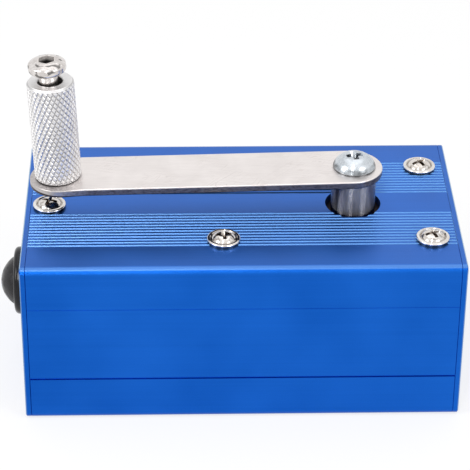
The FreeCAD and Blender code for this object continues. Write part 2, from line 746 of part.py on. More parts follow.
def hexagon(across_flats, low, high):
    """Hexagonal prism about Z with two flats facing the X axis."""
    corner = across_flats / math.sqrt(3)
    points = [polar(corner, math.radians(30 + 60 * index)) for index in range(7)]
    face = Part.Face(Part.makePolygon(points))
    face.translate(Vector(0, 0, low))
    return face.extrude(Vector(0, 0, high - low))


def gear_grub_screw():
    face = DRIVE_HUB_DIAMETER / 2
    socket = hexagon(GRUB_SOCKET_FLATS, face - GRUB_SOCKET_DEPTH, face)
    socket = placed(socket, along(X_AXIS, Vector(0, 0, GRUB_HEIGHT)))
    return at_centre(grub_screw_blank().cut(socket), CRANK_CENTRE)


def shaft_retaining_ring():
    """Open ring in the groove below the lower bush."""
    inner = LOWER_JOURNAL_DIAMETER - 2 * RING_GROOVE_DEPTH
    ring = tube(RING_DIAMETER, inner, RING_LOW, RING_HIGH)
    mouth = block((0, RING_DIAMETER), (-RING_MOUTH / 2, RING_MOUTH / 2), (RING_LOW, RING_HIGH))
    return at_centre(ring.cut(mouth), CRANK_CENTRE)


def arm_placement():
    return Placement(CRANK_CENTRE, Rotation(Z_AXIS, CRANK_REST_ANGLE))


def pin_placement():
    """Frame of the handle: on the arm's sloped end, Z along the pin."""
    drop = ARM_SET_DISTANCE * math.tan(math.radians(ARM_SET_ANGLE))
    base = Placement(Vector(PIN_DISTANCE, 0, ARM_TOP - drop), Rotation(Y_AXIS, ARM_SET_ANGLE))
    return arm_placement().multiply(base)


def crank_arm():
    """Flat bar with round ends; its outer end is set down a little under the handle."""
    slope = math.tan(math.radians(ARM_SET_ANGLE))
    half_slope = math.tan(math.radians(ARM_SET_ANGLE / 2))
    reach = ARM_WIDTH / 2 - ARM_END_SETBACK
    far = PIN_DISTANCE + reach
    kink = PIN_DISTANCE - ARM_SET_DISTANCE
    low_kink = kink - ARM_THICKNESS * half_slope
    outline = [(-reach, ARM_UNDERSIDE), (low_kink, ARM_UNDERSIDE),
               (far, ARM_UNDERSIDE - (far - low_kink) * slope), (far, ARM_TOP - (far - kink) * slope),
               (kink, ARM_TOP), (-reach, ARM_TOP), (-reach, ARM_UNDERSIDE)]
    side = Part.Face(Part.makePolygon([profile_point(place) for place in outline]))
    side.translate(Vector(0, -ARM_WIDTH / 2, 0))
    bar = side.extrude(Vector(0, ARM_WIDTH, 0))
    bar = bar.common(stadium(ARM_END_SETBACK, PIN_DISTANCE - ARM_END_SETBACK, ARM_WIDTH))
    rims = [edge for edge in bar.Edges if not is_upright(edge) and edge.Length > ARM_WIDTH + 1]
    bar = bar.makeFillet(ARM_EDGE_ROUND, rims)
    bar = placed(bar, arm_placement())
    pin_hole = placed(cylinder(PIN_DIAMETER, -THROUGH, THROUGH), pin_placement())
    hub_hole = at_centre(spigot(0, THROUGH), CRANK_CENTRE)
    return bar.cut([pin_hole, hub_hole])


def is_upright(edge):
    first, last = edge.Vertexes[0].Point, edge.Vertexes[-1].Point
    level = math.hypot(first.x - last.x, first.y - last.y)
    return level < TINY and edge.Length < ARM_WIDTH


def stadium(start, end, width):
    """Tall prism with straight sides and half-round ends, centred on X from start to end."""
    ends = [cylinder(width, 0, THROUGH, start, 0), cylinder(width, 0, THROUGH, end, 0)]
    middle = block((start, end), (-width / 2, width / 2), (0, THROUGH))
    return joined([middle] + ends)


def arm_screw():
    screw = pan_screw(M5, ARM_SCREW_LENGTH, ARM_SCREW_HEAD, ARM_SCREW_HEAD_HEIGHT, DOMED_HEAD)
    turn = Rotation(Z_AXIS, ARM_SCREW_TURN)
    return placed(screw, Placement(Vector(CRANK_X, CRANK_Y, ARM_TOP), turn))


def grip_pin():
    """Long screw: its foot is flush with the arm's underside, its rounded head has a hex socket."""
    radius = PIN_DIAMETER / 2
    top = PIN_HEAD_BOTTOM + PIN_HEAD_HEIGHT
    steps = [(radius, -ARM_THICKNESS), (radius, PIN_HEAD_BOTTOM - PIN_NECK_BEVEL),
             (radius + PIN_NECK_BEVEL, PIN_HEAD_BOTTOM)]
    for step in PIN_HEAD_STEPS:
        lifted = [value + PIN_HEAD_BOTTOM * (index % 2) for index, value in enumerate(step)]
        steps.append(tuple(lifted))
    body = turned((0, -ARM_THICKNESS), *steps)
    socket = hexagon(PIN_SOCKET_FLATS, top - PIN_SOCKET_DEPTH, top)
    return placed(body.cut(socket), pin_placement())


def grip_placement():
    """Frame of the loose sleeve, which leans a little less than its pin."""
    base = pin_placement().Base
    lean = Placement(ORIGIN, Rotation(Y_AXIS, GRIP_LEAN))
    turn = Placement(base, Rotation(Z_AXIS, CRANK_REST_ANGLE))
    return turn.multiply(lean)


def handle_grip():
    """Sleeve that spins on the pin, free between the arm and the pin's head."""
    outer = GRIP_DIAMETER / 2
    inner = GRIP_BORE / 2
    foot = GRIP_SEAT_GAP
    top = GRIP_HEIGHT
    body = turned((inner, foot), (outer - GRIP_FOOT_BEVEL, foot), (outer, foot + GRIP_FOOT_BEVEL),
                  (outer, top - GRIP_TOP_BEVEL), (outer - GRIP_TOP_BEVEL, top),
                  (inner + GRIP_BORE_BEVEL, top), (inner, top - GRIP_BORE_BEVEL))
    return placed(body, grip_placement())


# ---------------------------------------------------------------- gearbox

def plate(x_span, y_span, z_span):
    return rounded_block(x_span, y_span, z_span, Z_AXIS, PLATE_CORNER)


def bush(place, z_span, bore, outer, flange=0.0, flange_z=(0.0, 0.0)):
    body = cylinder(outer, z_span[0], z_span[1], place.x, place.y)
    if flange:
        body = body.fuse(cylinder(flange, flange_z[0], flange_z[1], place.x, place.y)).removeSplitter()
    low = min(z_span[0], flange_z[0]) if flange else z_span[0]
    high = max(z_span[1], flange_z[1])
    return body.cut(cylinder(bore + 2 * RUNNING_GAP, low, high, place.x, place.y))


def plate_holes(places, diameter, z_span):
    return [cylinder(diameter, z_span[0], z_span[1], x, y) for x, y in places]


def pillar_places():
    return [(x, y) for x in PILLAR_X for y in PILLAR_Y]


def gearbox_top_plate():
    z_span = (TOP_PLATE_Z, ROOF_UNDERSIDE)
    body = plate((TOP_PLATE_LEFT, PLATE_RIGHT), (-PLATE_HALF_WIDTH, PLATE_HALF_WIDTH), z_span)
    holes = plate_holes(pillar_places(), M4 + CLEARANCE, z_span)
    holes += plate_holes([(CRANK_X, CRANK_Y)], TOP_BUSH_OUTER, z_span)
    holes += plate_holes([(FIRST_CENTRE.x, FIRST_CENTRE.y)], ARBOR_BUSH_OUTER, z_span)
    return body.cut(holes)


def gearbox_bottom_plate():
    z_span = (BOTTOM_PLATE_Z, BOTTOM_PLATE_TOP)
    body = plate((BOTTOM_PLATE_LEFT, PLATE_RIGHT), (-PLATE_HALF_WIDTH, PLATE_HALF_WIDTH), z_span)
    holes = plate_holes(pillar_places(), M4 + CLEARANCE, z_span)
    holes += plate_holes([(CRANK_X, CRANK_Y)], LOWER_BUSH_OUTER, z_span)
    holes += plate_holes([(FIRST_CENTRE.x, FIRST_CENTRE.y)], ARBOR_BUSH_OUTER, z_span)
    holes += plate_holes([(SECOND_CENTRE.x, SECOND_CENTRE.y)], SMALL_BUSH_OUTER, z_span)
    holes += plate_holes([(GENERATOR_CENTRE.x, GENERATOR_CENTRE.y)], BEARING_OUTER, z_span)
    holes += plate_holes(SPACER_PLACES, M3, z_span)
    return body.cut(holes + generator_screw_solids(False))


def gearbox_pillars():
    pillars = []
    for x, y in pillar_places():
        post = cylinder(PILLAR_DIAMETER, BOTTOM_PLATE_TOP, TOP_PLATE_Z, x, y)
        upper = cylinder(M4, TOP_PLATE_Z - PILLAR_TAP_DEPTH, TOP_PLATE_Z, x, y)
        lower = cylinder(M4, BOTTOM_PLATE_TOP, BOTTOM_PLATE_TOP + PILLAR_TAP_DEPTH, x, y)
        pillars.append(post.cut([upper, lower]))
    return group(pillars)


def screws_from_below(screw, places, height):
    """Copies of a screw with their heads down, under a face at the given height."""
    return group([placed(screw, along(Vector(0, 0, -1), Vector(x, y, height))) for x, y in places])


def pillar_screws():
    head_height = PILLAR_SCREW_HEAD * PAN_HEAD_RATIO
    screw = pan_screw(M4, PILLAR_SCREW_LENGTH, PILLAR_SCREW_HEAD, head_height)
    return screws_from_below(screw, pillar_places(), BOTTOM_PLATE_Z)


def gear_cover_plate():
    z_span = (COVER_PLATE_Z, COVER_PLATE_TOP)
    body = plate(COVER_PLATE_X, COVER_PLATE_Y, z_span)
    bushes = [(centre.x, centre.y) for centre in (FIRST_CENTRE, SECOND_CENTRE)]
    screw_holes = plate_holes(SPACER_PLACES, M2_5 + CLEARANCE, z_span)
    return body.cut(screw_holes + plate_holes(bushes, SMALL_BUSH_OUTER, z_span))


def cover_spacers():
    """Spacers riveted into the bottom plate, tapped from below."""
    spacers = []
    for x, y in SPACER_PLACES:
        post = cylinder(SPACER_DIAMETER, COVER_PLATE_TOP, BOTTOM_PLATE_Z, x, y)
        rivet = cylinder(M3, BOTTOM_PLATE_Z, BOTTOM_PLATE_TOP, x, y)
        tapped = cylinder(M2_5, COVER_PLATE_TOP, COVER_PLATE_TOP + SPACER_TAP_DEPTH, x, y)
        spacers.append(joined([post, rivet]).cut(tapped))
    return group(spacers)


def cover_screws():
    screw = pan_screw(M2_5, COVER_SCREW_LENGTH, COVER_SCREW_HEAD, COVER_SCREW_HEAD_HEIGHT)
    return screws_from_below(screw, SPACER_PLACES, COVER_PLATE_Z)


def upper_shaft_bush():
    return bush(CRANK_CENTRE, (TOP_PLATE_Z, ROOF_UNDERSIDE - ROOF_GAP), SHAFT_DIAMETER,
                TOP_BUSH_OUTER, TOP_BUSH_FLANGE, (TOP_PLATE_Z - SHAFT_FLANGE_THICKNESS, TOP_PLATE_Z))


def lower_shaft_bush():
    flange_z = (BOTTOM_PLATE_TOP, BOTTOM_PLATE_TOP + SHAFT_FLANGE_THICKNESS)
    return bush(CRANK_CENTRE, (BOTTOM_PLATE_Z - ROOF_GAP, BOTTOM_PLATE_TOP), LOWER_JOURNAL_DIAMETER,
                LOWER_BUSH_OUTER, LOWER_BUSH_FLANGE, flange_z)


def arbor_bushes():
    flange_z = (BOTTOM_PLATE_TOP, BOTTOM_PLATE_TOP + ARBOR_FLANGE_THICKNESS)
    first_top = bush(FIRST_CENTRE, (TOP_PLATE_Z, ROOF_UNDERSIDE - ROOF_GAP), FIRST_ARBOR_DIAMETER,
                     ARBOR_BUSH_OUTER)
    first_middle = bush(FIRST_CENTRE, (BOTTOM_PLATE_Z, BOTTOM_PLATE_TOP), FIRST_ARBOR_DIAMETER,
                        ARBOR_BUSH_OUTER, ARBOR_BUSH_FLANGE, flange_z)
    second_top = bush(SECOND_CENTRE, (BOTTOM_PLATE_Z, BOTTOM_PLATE_TOP - ROOF_GAP),
                      SMALL_ARBOR_DIAMETER, SMALL_BUSH_OUTER)
    lower = [bush(centre, (COVER_PLATE_Z, COVER_PLATE_TOP), SMALL_ARBOR_DIAMETER, SMALL_BUSH_OUTER)
             for centre in (FIRST_CENTRE, SECOND_CENTRE)]
    return group([first_top, first_middle, second_top] + lower)


def first_pinion_arbor():
    """Arbor cut in one piece with the pinion that the drive gear turns."""
    journal = FIRST_ARBOR_DIAMETER / 2
    small = SMALL_ARBOR_DIAMETER / 2
    foot = COVER_PLATE_Z + ARBOR_FOOT_GAP
    step = COVER_PLATE_TOP + ARBOR_FOOT_GAP
    head = ROOF_UNDERSIDE - FIRST_ARBOR_HEAD_GAP
    spindle = turned((0, foot), (small, foot), (small, step), (journal, step), (journal, head),
                     (0, head))
    teeth = gear_blank(PINION_TEETH, FIRST_MODULE, FIRST_PINION_Z, FIRST_PINION_PHASE)
    return at_centre(joined([teeth, spindle]), FIRST_CENTRE)


def second_stage_wheel():
    wheel = gear_blank(SECOND_TEETH, SECOND_MODULE, SECOND_WHEEL_Z, FIRST_PINION_PHASE)
    wheel = lightened(wheel, SECOND_WHEEL_Z, *SECOND_HOLES)
    hub_low = SECOND_WHEEL_Z[0] - SECOND_HUB_HEIGHT
    hub = cylinder(SECOND_HUB_DIAMETER, hub_low, SECOND_WHEEL_Z[0])
    bore = cylinder(FIRST_ARBOR_DIAMETER, 0, CASE_HEIGHT)
    return at_centre(joined([wheel, hub]).cut(bore), FIRST_CENTRE)


def second_pinion_arbor():
    foot = COVER_PLATE_Z + ARBOR_FOOT_GAP
    head = BOTTOM_PLATE_TOP - SECOND_ARBOR_HEAD_GAP
    spindle = cylinder(SMALL_ARBOR_DIAMETER, foot, head)
    teeth = gear_blank(PINION_TEETH, SECOND_MODULE, SECOND_PINION_Z, SECOND_PINION_PHASE)
    return at_centre(joined([teeth, spindle]), SECOND_CENTRE)


def third_stage_wheel():
    wheel = gear_blank(THIRD_TEETH, THIRD_MODULE, THIRD_WHEEL_Z, SECOND_PINION_PHASE)
    wheel = lightened(wheel, THIRD_WHEEL_Z, *THIRD_HOLES)
    bore = cylinder(SMALL_ARBOR_DIAMETER, 0, CASE_HEIGHT)
    return at_centre(wheel.cut(bore), SECOND_CENTRE)


# ---------------------------------------------------------------- generator

def generator_case():
    """Drawn cup over the stator, closed at the top round the upper bearing."""
    outer = 2 * GENERATOR_RADIUS
    inside_top = GENERATOR_TOP - CASE_SHEET
    bearing_low = inside_top - BEARING_HEIGHT
    shell = cylinder(outer, END_CAP_TOP, GENERATOR_TOP)
    rim = []
    for edge in shell.Edges:
        if edge.Closed and edge.Vertexes[0].Point.z > GENERATOR_TOP - TINY:
            rim.append(edge)
    shell = shell.makeFillet(CASE_ROUND, rim)
    hollow = cylinder(outer - 2 * CASE_SHEET, END_CAP_TOP, inside_top)
    nest = cylinder(BEARING_OUTER + 2 * BEARING_NEST_WALL, bearing_low, GENERATOR_TOP)
    seat = cylinder(BEARING_OUTER, bearing_low, inside_top + BEARING_END_GAP)
    shaft_hole = cylinder(SHAFT_HOLE_DIAMETER, bearing_low, GENERATOR_TOP)
    body = joined([shell.cut(hollow), nest]).cut([seat, shaft_hole])
    return at_centre(body, GENERATOR_CENTRE)


def generator_end_cap():
    outer = 2 * GENERATOR_RADIUS
    spigot_outer = outer - 2 * CASE_SHEET
    spigot_top = END_CAP_TOP + END_CAP_SPIGOT_HEIGHT
    cap = cylinder(outer, BOTTOM_PLATE_TOP, END_CAP_TOP)
    rim = tube(spigot_outer, spigot_outer - 2 * END_CAP_SPIGOT_WALL, END_CAP_TOP, spigot_top)
    seat = cylinder(BEARING_OUTER, BOTTOM_PLATE_TOP + BEARING_END_GAP, END_CAP_TOP)
    shaft_hole = cylinder(SHAFT_HOLE_DIAMETER, BOTTOM_PLATE_TOP, END_CAP_TOP)
    body = at_centre(joined([cap, rim]).cut([seat, shaft_hole]), GENERATOR_CENTRE)
    return body.cut(generator_screw_solids(False))


def generator_screw_solids(recessed):
    """Two flush screws through the bottom plate into the end cap."""
    make = countersunk_screw if recessed else countersunk_blank
    screw = make(M2_5, GENERATOR_SCREW_LENGTH, GENERATOR_SCREW_HEAD, GENERATOR_SCREW_HEAD_HEIGHT)
    solids = []
    for angle in GENERATOR_SCREW_ANGLES:
        offset = polar(GENERATOR_SCREW_CIRCLE, math.radians(angle))
        place = GENERATOR_CENTRE + offset + Vector(0, 0, BOTTOM_PLATE_Z)
        solids.append(placed(screw, along(Vector(0, 0, -1), place)))
    return solids


def generator_screws():
    return group(generator_screw_solids(True))


def generator_bearings():
    low = BOTTOM_PLATE_TOP + BEARING_END_GAP
    high = GENERATOR_TOP - CASE_SHEET + BEARING_END_GAP
    inner = SMALL_ARBOR_DIAMETER + 2 * RUNNING_GAP
    pair = [tube(BEARING_OUTER, inner, low, low + BEARING_HEIGHT),
            tube(BEARING_OUTER, inner, high - BEARING_HEIGHT, high)]
    return at_centre(group(pair), GENERATOR_CENTRE)


def stator_tooth_blanks(width, inner, outer, z_span):
    blanks = []
    ring = tube(2 * outer, 2 * inner, z_span[0], z_span[1])
    for index in range(STATOR_TEETH):
        bar = block((0, outer + 1), (-width / 2, width / 2), z_span)
        turned_bar = placed(bar, Placement(ORIGIN, Rotation(Z_AXIS, 360 * index / STATOR_TEETH)))
        blanks.append(ring.common(turned_bar))
    return blanks


def stator_core():
    """Laminated ring with six teeth whose shoes face the magnet."""
    outer = GENERATOR_RADIUS - CASE_SHEET
    back = tube(2 * outer, 2 * (outer - STATOR_BACK), STATOR_Z[0], STATOR_Z[1])
    bore = STATOR_BORE / 2
    shoes = tube(STATOR_BORE + 2 * STATOR_SHOE, STATOR_BORE, STATOR_Z[0], STATOR_Z[1])
    slits = []
    for index in range(STATOR_TEETH):
        slit = block((0, outer), (-SHOE_GAP / 2, SHOE_GAP / 2), STATOR_Z)
        angle = 360 * (index + 0.5) / STATOR_TEETH
        slits.append(placed(slit, Placement(ORIGIN, Rotation(Z_AXIS, angle))))
    teeth = stator_tooth_blanks(TOOTH_WIDTH, bore + STATOR_SHOE / 2, outer - STATOR_BACK / 2, STATOR_Z)
    return at_centre(joined([back, shoes.cut(slits)] + teeth), GENERATOR_CENTRE)


def stator_coils():
    inner = STATOR_BORE / 2 + STATOR_SHOE + COIL_GAP
    outer = GENERATOR_RADIUS - CASE_SHEET - STATOR_BACK - COIL_GAP
    z_span = (STATOR_Z[0] - COIL_OVERHANG, STATOR_Z[1] + COIL_OVERHANG)
    blanks = stator_tooth_blanks(COIL_WIDTH, inner, outer, z_span)
    teeth = stator_tooth_blanks(TOOTH_WIDTH, inner - 1, outer + 1, STATOR_Z)
    coils = [blank.cut(tooth) for blank, tooth in zip(blanks, teeth)]
    return at_centre(group(coils), GENERATOR_CENTRE)


def generator_shaft():
    shaft = cylinder(SMALL_ARBOR_DIAMETER, THIRD_PINION_Z[0], GENERATOR_TOP - SHAFT_HEAD_GAP)
    return at_centre(shaft, GENERATOR_CENTRE)


def rotor_magnet():
    magnet = tube(ROTOR_DIAMETER, SMALL_ARBOR_DIAMETER, ROTOR_Z[0], ROTOR_Z[1])
    return at_centre(magnet, GENERATOR_CENTRE)


def generator_pinion():
    teeth = gear_blank(PINION_TEETH, THIRD_MODULE, THIRD_PINION_Z, THIRD_PINION_PHASE)
    return at_centre(teeth.cut(cylinder(SMALL_ARBOR_DIAMETER, 0, CASE_HEIGHT)), GENERATOR_CENTRE)


# ---------------------------------------------------------------- push button

def button_placement():
    """Frame of the push button: on the panel's outer face, Z pointing out of the case."""
    return along(Vector(-1, 0, 0), Vector(OUTER_LEFT, BUTTON_Y, BUTTON_Z))


def button_housing():
    """Threaded body with a round-edged bezel outside the panel and a closed back."""
    rim = BEZEL_DIAMETER / 2
    inset = BEZEL_ROUND * (1 - math.sqrt(0.5))
    edge_arc = (rim - inset, BEZEL_HEIGHT - inset, rim, BEZEL_HEIGHT - BEZEL_ROUND)
    bore = CAP_DIAMETER / 2 + CAP_BORE_GAP
    thread = BUTTON_THREAD / 2
    back = -HOUSING_DEPTH - PANEL_THICKNESS
    wall = HOUSING_BACK_WALL
    body = turned((bore, BEZEL_HEIGHT), (rim - BEZEL_ROUND, BEZEL_HEIGHT), edge_arc, (rim, 0),
                  (thread, 0), (thread, back), (0, back), (0, back + wall), (bore, back + wall))
    return placed(body, button_placement())


def button_cap():
    """Domed cap with a hollow skirt that slides in the housing."""
    radius = CAP_DIAMETER / 2
    base = BEZEL_HEIGHT
    top = base + CAP_DOME_HEIGHT
    foot = base - CAP_SKIRT
    sphere = (radius ** 2 + CAP_DOME_HEIGHT ** 2) / (2 * CAP_DOME_HEIGHT)
    half_turn = math.asin(radius / sphere) / 2
    middle = (sphere * math.sin(half_turn), top - sphere * (1 - math.cos(half_turn)))
    inside = radius - CAP_WALL
    body = turned((0, base - CAP_WEB), (inside, base - CAP_WEB), (inside, foot), (radius, foot),
                  (radius, base), (middle[0], middle[1], 0, top))
    return placed(body, button_placement())


def button_nut():
    low = -PANEL_THICKNESS - NUT_THICKNESS
    nut = tube(NUT_DIAMETER, BUTTON_THREAD, low, -PANEL_THICKNESS)
    flats = []
    for index in range(6):
        flat = block((NUT_HALF_FLATS, NUT_DIAMETER), (-NUT_DIAMETER, NUT_DIAMETER),
                     (low, -PANEL_THICKNESS))
        flats.append(placed(flat, Placement(ORIGIN, Rotation(Z_AXIS, 60 * index))))
    return placed(nut.cut(flats), button_placement())


def button_spring():
    """Coil spring between the housing's back and the inside of the cap.

    The wire's section stands square to the helix and is drawn as two half circles.
    """
    low = -HOUSING_DEPTH - PANEL_THICKNESS + HOUSING_BACK_WALL + SPRING_WIRE / 2
    high = BEZEL_HEIGHT - CAP_WEB - SPRING_WIRE / 2
    radius = (SPRING_DIAMETER - SPRING_WIRE) / 2
    pitch = (high - low) / SPRING_TURNS
    helix = Part.makeHelix(pitch, high - low, radius)
    slope = Vector(0, 2 * math.pi * radius, pitch)
    circle = Part.Circle(Vector(radius, 0, 0), slope, SPRING_WIRE / 2)
    halves = [Part.ArcOfCircle(circle, start, start + math.pi) for start in (0, math.pi)]
    section = Part.Wire([half.toShape() for half in halves])
    coil = Part.Wire(helix.Edges).makePipeShell([section], True, True)
    return placed(coil, button_placement().multiply(Placement(Vector(0, 0, low), Rotation())))


def terminal_starts():
    """Inner ends of the two terminals, where the switch leads begin."""
    x = OUTER_LEFT + PANEL_THICKNESS + HOUSING_DEPTH + TERMINAL_SIZE[0]
    return [Vector(x, BUTTON_Y + side * TERMINAL_HALF_SPACING, BUTTON_Z) for side in (-1, 1)]


def button_terminals():
    tags = []
    for end in terminal_starts():
        length, width, height = TERMINAL_SIZE
        tags.append(block((end.x - length, end.x), (end.y - width / 2, end.y + width / 2),
                          (end.z - height / 2, end.z + height / 2)))
    return group(tags)


# ---------------------------------------------------------------- board and sockets

def circuit_board():
    board = block(BOARD_X, (-BOARD_HALF_WIDTH, BOARD_HALF_WIDTH), (BOARD_Z, BOARD_TOP))
    return board.cut(cylinder(M3 + CLEARANCE, BOARD_Z, BOARD_TOP, BOARD_SCREW_X, BOARD_SCREW_Y))


def board_pillar():
    post = cylinder(BOARD_PILLAR_DIAMETER, BOARD_TOP, ROOF_UNDERSIDE, BOARD_SCREW_X, BOARD_SCREW_Y)
    upper_tap = ROOF_UNDERSIDE - BOARD_PILLAR_UPPER_TAP
    lower_tap = BOARD_TOP + BOARD_PILLAR_LOWER_TAP
    upper = cylinder(M4, upper_tap, ROOF_UNDERSIDE, BOARD_SCREW_X, BOARD_SCREW_Y)
    lower = cylinder(M3, BOARD_TOP, lower_tap, BOARD_SCREW_X, BOARD_SCREW_Y)
    return post.cut([upper, lower])


def board_screw():
    screw = pan_screw(M3, BOARD_SCREW_LENGTH, BOARD_SCREW_HEAD, BOARD_SCREW_HEAD_HEIGHT)
    return placed(screw, along(Vector(0, 0, -1), Vector(BOARD_SCREW_X, BOARD_SCREW_Y, BOARD_Z)))


def usb_span(depth_from, depth_to, width, low, high):
    """Box of the USB socket, measured inwards from the panel's outer face."""
    x_span = (OUTER_LEFT + depth_from, OUTER_LEFT + depth_to)
    return block(x_span, (USB_Y - width / 2, USB_Y + width / 2), (low, high))


def usb_socket():
    """Folded sheet shell, open at the panel and closed at the back."""
    shell = usb_span(0, USB_DEPTH, USB_WIDTH, BOARD_TOP, BOARD_TOP + USB_HEIGHT)
    hollow = usb_span(0, USB_DEPTH - USB_SHEET, USB_WIDTH - 2 * USB_SHEET,
                      BOARD_TOP + USB_SHEET, BOARD_TOP + USB_HEIGHT - USB_SHEET)
    return shell.cut(hollow)


def usb_tongue():
    """Plastic block at the back of the socket with the contact tongue."""
    back = USB_DEPTH - USB_SHEET
    high = BOARD_TOP + USB_HEIGHT - USB_SHEET
    front = back - USB_ROOT_LENGTH
    root = usb_span(front, back, USB_WIDTH - 2 * USB_SHEET, BOARD_TOP + USB_SHEET, high)
    length, width, thickness = USB_TONGUE
    blade_top = high - USB_BLADE_DROP
    blade = usb_span(back - length, front, width, blade_top - thickness, blade_top)
    return joined([root, blade])


def dc_axis():
    return along(Vector(-1, 0, 0), Vector(OUTER_LEFT, DC_Y, BOARD_TOP + DC_HEIGHT / 2))


def dc_socket():
    """Moulded body on the board with a round barrel through the panel."""
    front = OUTER_LEFT + PANEL_THICKNESS
    body = block((front, front + DC_DEPTH), (DC_Y - DC_WIDTH / 2, DC_Y + DC_WIDTH / 2),
                 (BOARD_TOP, BOARD_TOP + DC_HEIGHT))
    barrel = placed(cylinder(DC_BARREL, -PANEL_THICKNESS, 0), dc_axis())
    bore = placed(cylinder(DC_BORE, -DC_BORE_DEPTH, 0), dc_axis())
    return joined([body, barrel]).cut(bore)


def dc_pin():
    radius = DC_PIN / 2
    pin = turned((0, -DC_BORE_DEPTH), (radius, -DC_BORE_DEPTH), (radius, DC_PIN_SHOULDER),
                 (radius / 2, DC_PIN_TIP), (0, DC_PIN_TIP))
    return placed(pin, dc_axis())


def bridge_rectifier():
    return block(RECTIFIER_X, RECTIFIER_Y, (BOARD_TOP, BOARD_TOP + RECTIFIER_HEIGHT))


def smoothing_capacitor():
    x, y = CAPACITOR_PLACE
    can = cylinder(CAPACITOR_DIAMETER, BOARD_TOP, BOARD_TOP + CAPACITOR_HEIGHT, x, y)
    return can.makeFillet(CAPACITOR_ROUND, [edge for edge in can.Edges if edge.Closed])


def voltage_regulator():
    body = block(REGULATOR_X, REGULATOR_Y, (BOARD_TOP, BOARD_TOP + REGULATOR_HEIGHT))
    long_edges = edges_along(body, X_AXIS, REGULATOR_X[1] - REGULATOR_X[0])
    return body.makeChamfer(REGULATOR_BEVEL, long_edges[:2])


def storage_inductor():
    """Wound core between two flanges."""
    x, y = INDUCTOR_PLACE
    foot, shoulder, top = [BOARD_TOP + step for step in INDUCTOR_STEPS]
    low = cylinder(INDUCTOR_FLANGE, BOARD_TOP, foot, x, y)
    core = cylinder(INDUCTOR_CORE, foot, shoulder, x, y)
    high = cylinder(INDUCTOR_FLANGE, shoulder, top, x, y)
    return joined([low, core, high])


# ---------------------------------------------------------------- internal leads

def lead(points):
    """Round lead along straight runs joined by tangent arcs; returns the solid and its radii."""
    edges = []
    radii = []
    start = points[0]
    for before, corner, after in zip(points, points[1:], points[2:]):
        run_in = corner - before
        run_out = after - corner
        half_turn = run_in.getAngle(run_out) / 2
        cut = PATH_ARC_SHARE * min(run_in.Length, run_out.Length)
        radius = cut / math.tan(half_turn)
        unit_in = Vector(run_in).normalize()
        unit_out = Vector(run_out).normalize()
        arc_start = corner - unit_in * cut
        arc_end = corner + unit_out * cut
        inward = Vector(unit_out - unit_in).normalize()
        middle = corner + inward * (radius / math.cos(half_turn) - radius)
        edges.append(Part.LineSegment(start, arc_start).toShape())
        edges.append(Part.Arc(arc_start, middle, arc_end).toShape())
        radii.append(round(radius, 2))
        start = arc_end
    edges.append(Part.LineSegment(start, points[-1]).toShape())
    path = Part.Wire(edges)
    section = Part.Wire(Part.makeCircle(LEAD_DIAMETER / 2, points[0], points[1] - points[0]))
    solid = path.makePipeShell([section], True, True)
    expected = math.pi * (LEAD_DIAMETER / 2) ** 2 * path.Length
    print("lead radii", radii, "volume share", round(solid.Volume / expected, 4))
    return solid


def generator_leads():
    """Three phase leads from the top of the generator down to the board."""
    x_up = GENERATOR_CENTRE.x - PHASE_LEAD_OFFSET
    x_down = BOTTOM_PLATE_LEFT - PHASE_LEAD_DROP_GAP
    x_pad = BOARD_X[1] - PHASE_PAD_INSET
    high = GENERATOR_TOP + PHASE_LEAD_RISE
    first_bend, last_bend = [BOARD_TOP + rise for rise in PHASE_LEAD_BENDS]
    route = [(x_up, GENERATOR_TOP), (x_up, high), (x_down, high), (x_down, first_bend),
             (x_pad, last_bend), (x_pad, BOARD_TOP)]
    return group([lead([Vector(x, y, z) for x, z in route]) for y in GENERATOR_LEAD_Y])


def switch_leads():
    x_pad = BOARD_X[1] - SWITCH_PAD_INSET
    first_bend, last_bend = [BOARD_TOP + rise for rise in SWITCH_LEAD_BENDS]
    leads = []
    for start in terminal_starts():
        x_down = start.x + SWITCH_LEAD_RUN
        route = [(start.x, start.z), (x_down, start.z), (x_down, first_bend), (x_pad, last_bend),
                 (x_pad, BOARD_TOP)]
        leads.append(lead([Vector(x, start.y, z) for x, z in route]))
    return group(leads)


# ---------------------------------------------------------------- all pieces

PIECES = (
    upper_shell, lower_shell, left_end_panel, right_end_panel, end_panel_screws, top_screws,
    gearbox_top_plate, gearbox_bottom_plate, gearbox_pillars, pillar_screws, gear_cover_plate,
    cover_spacers, cover_screws, upper_shaft_bush, lower_shaft_bush, arbor_bushes,
    crank_shaft, drive_gear, gear_grub_screw, shaft_retaining_ring, crank_arm, arm_screw, grip_pin,
    handle_grip, first_pinion_arbor, second_stage_wheel, second_pinion_arbor, third_stage_wheel,
    generator_case, generator_end_cap, generator_screws, generator_bearings, stator_core,
    stator_coils, generator_shaft, rotor_magnet, generator_pinion,
    button_housing, button_cap, button_nut, button_spring, button_terminals,
    circuit_board, board_pillar, board_screw, usb_socket, usb_tongue, dc_socket, dc_pin,
    bridge_rectifier, smoothing_capacitor, voltage_regulator, storage_inductor,
    generator_leads, switch_leads,
)


def main():
    os.makedirs("parts", exist_ok=True)
    for make in PIECES:
        shape = make()
        if not shape.isValid():
            print("not valid:", make.__name__)
        shape.exportStep("parts/" + make.__name__ + ".step")


main()
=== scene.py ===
import json
import math

import bpy
from mathutils import Matrix, Vector


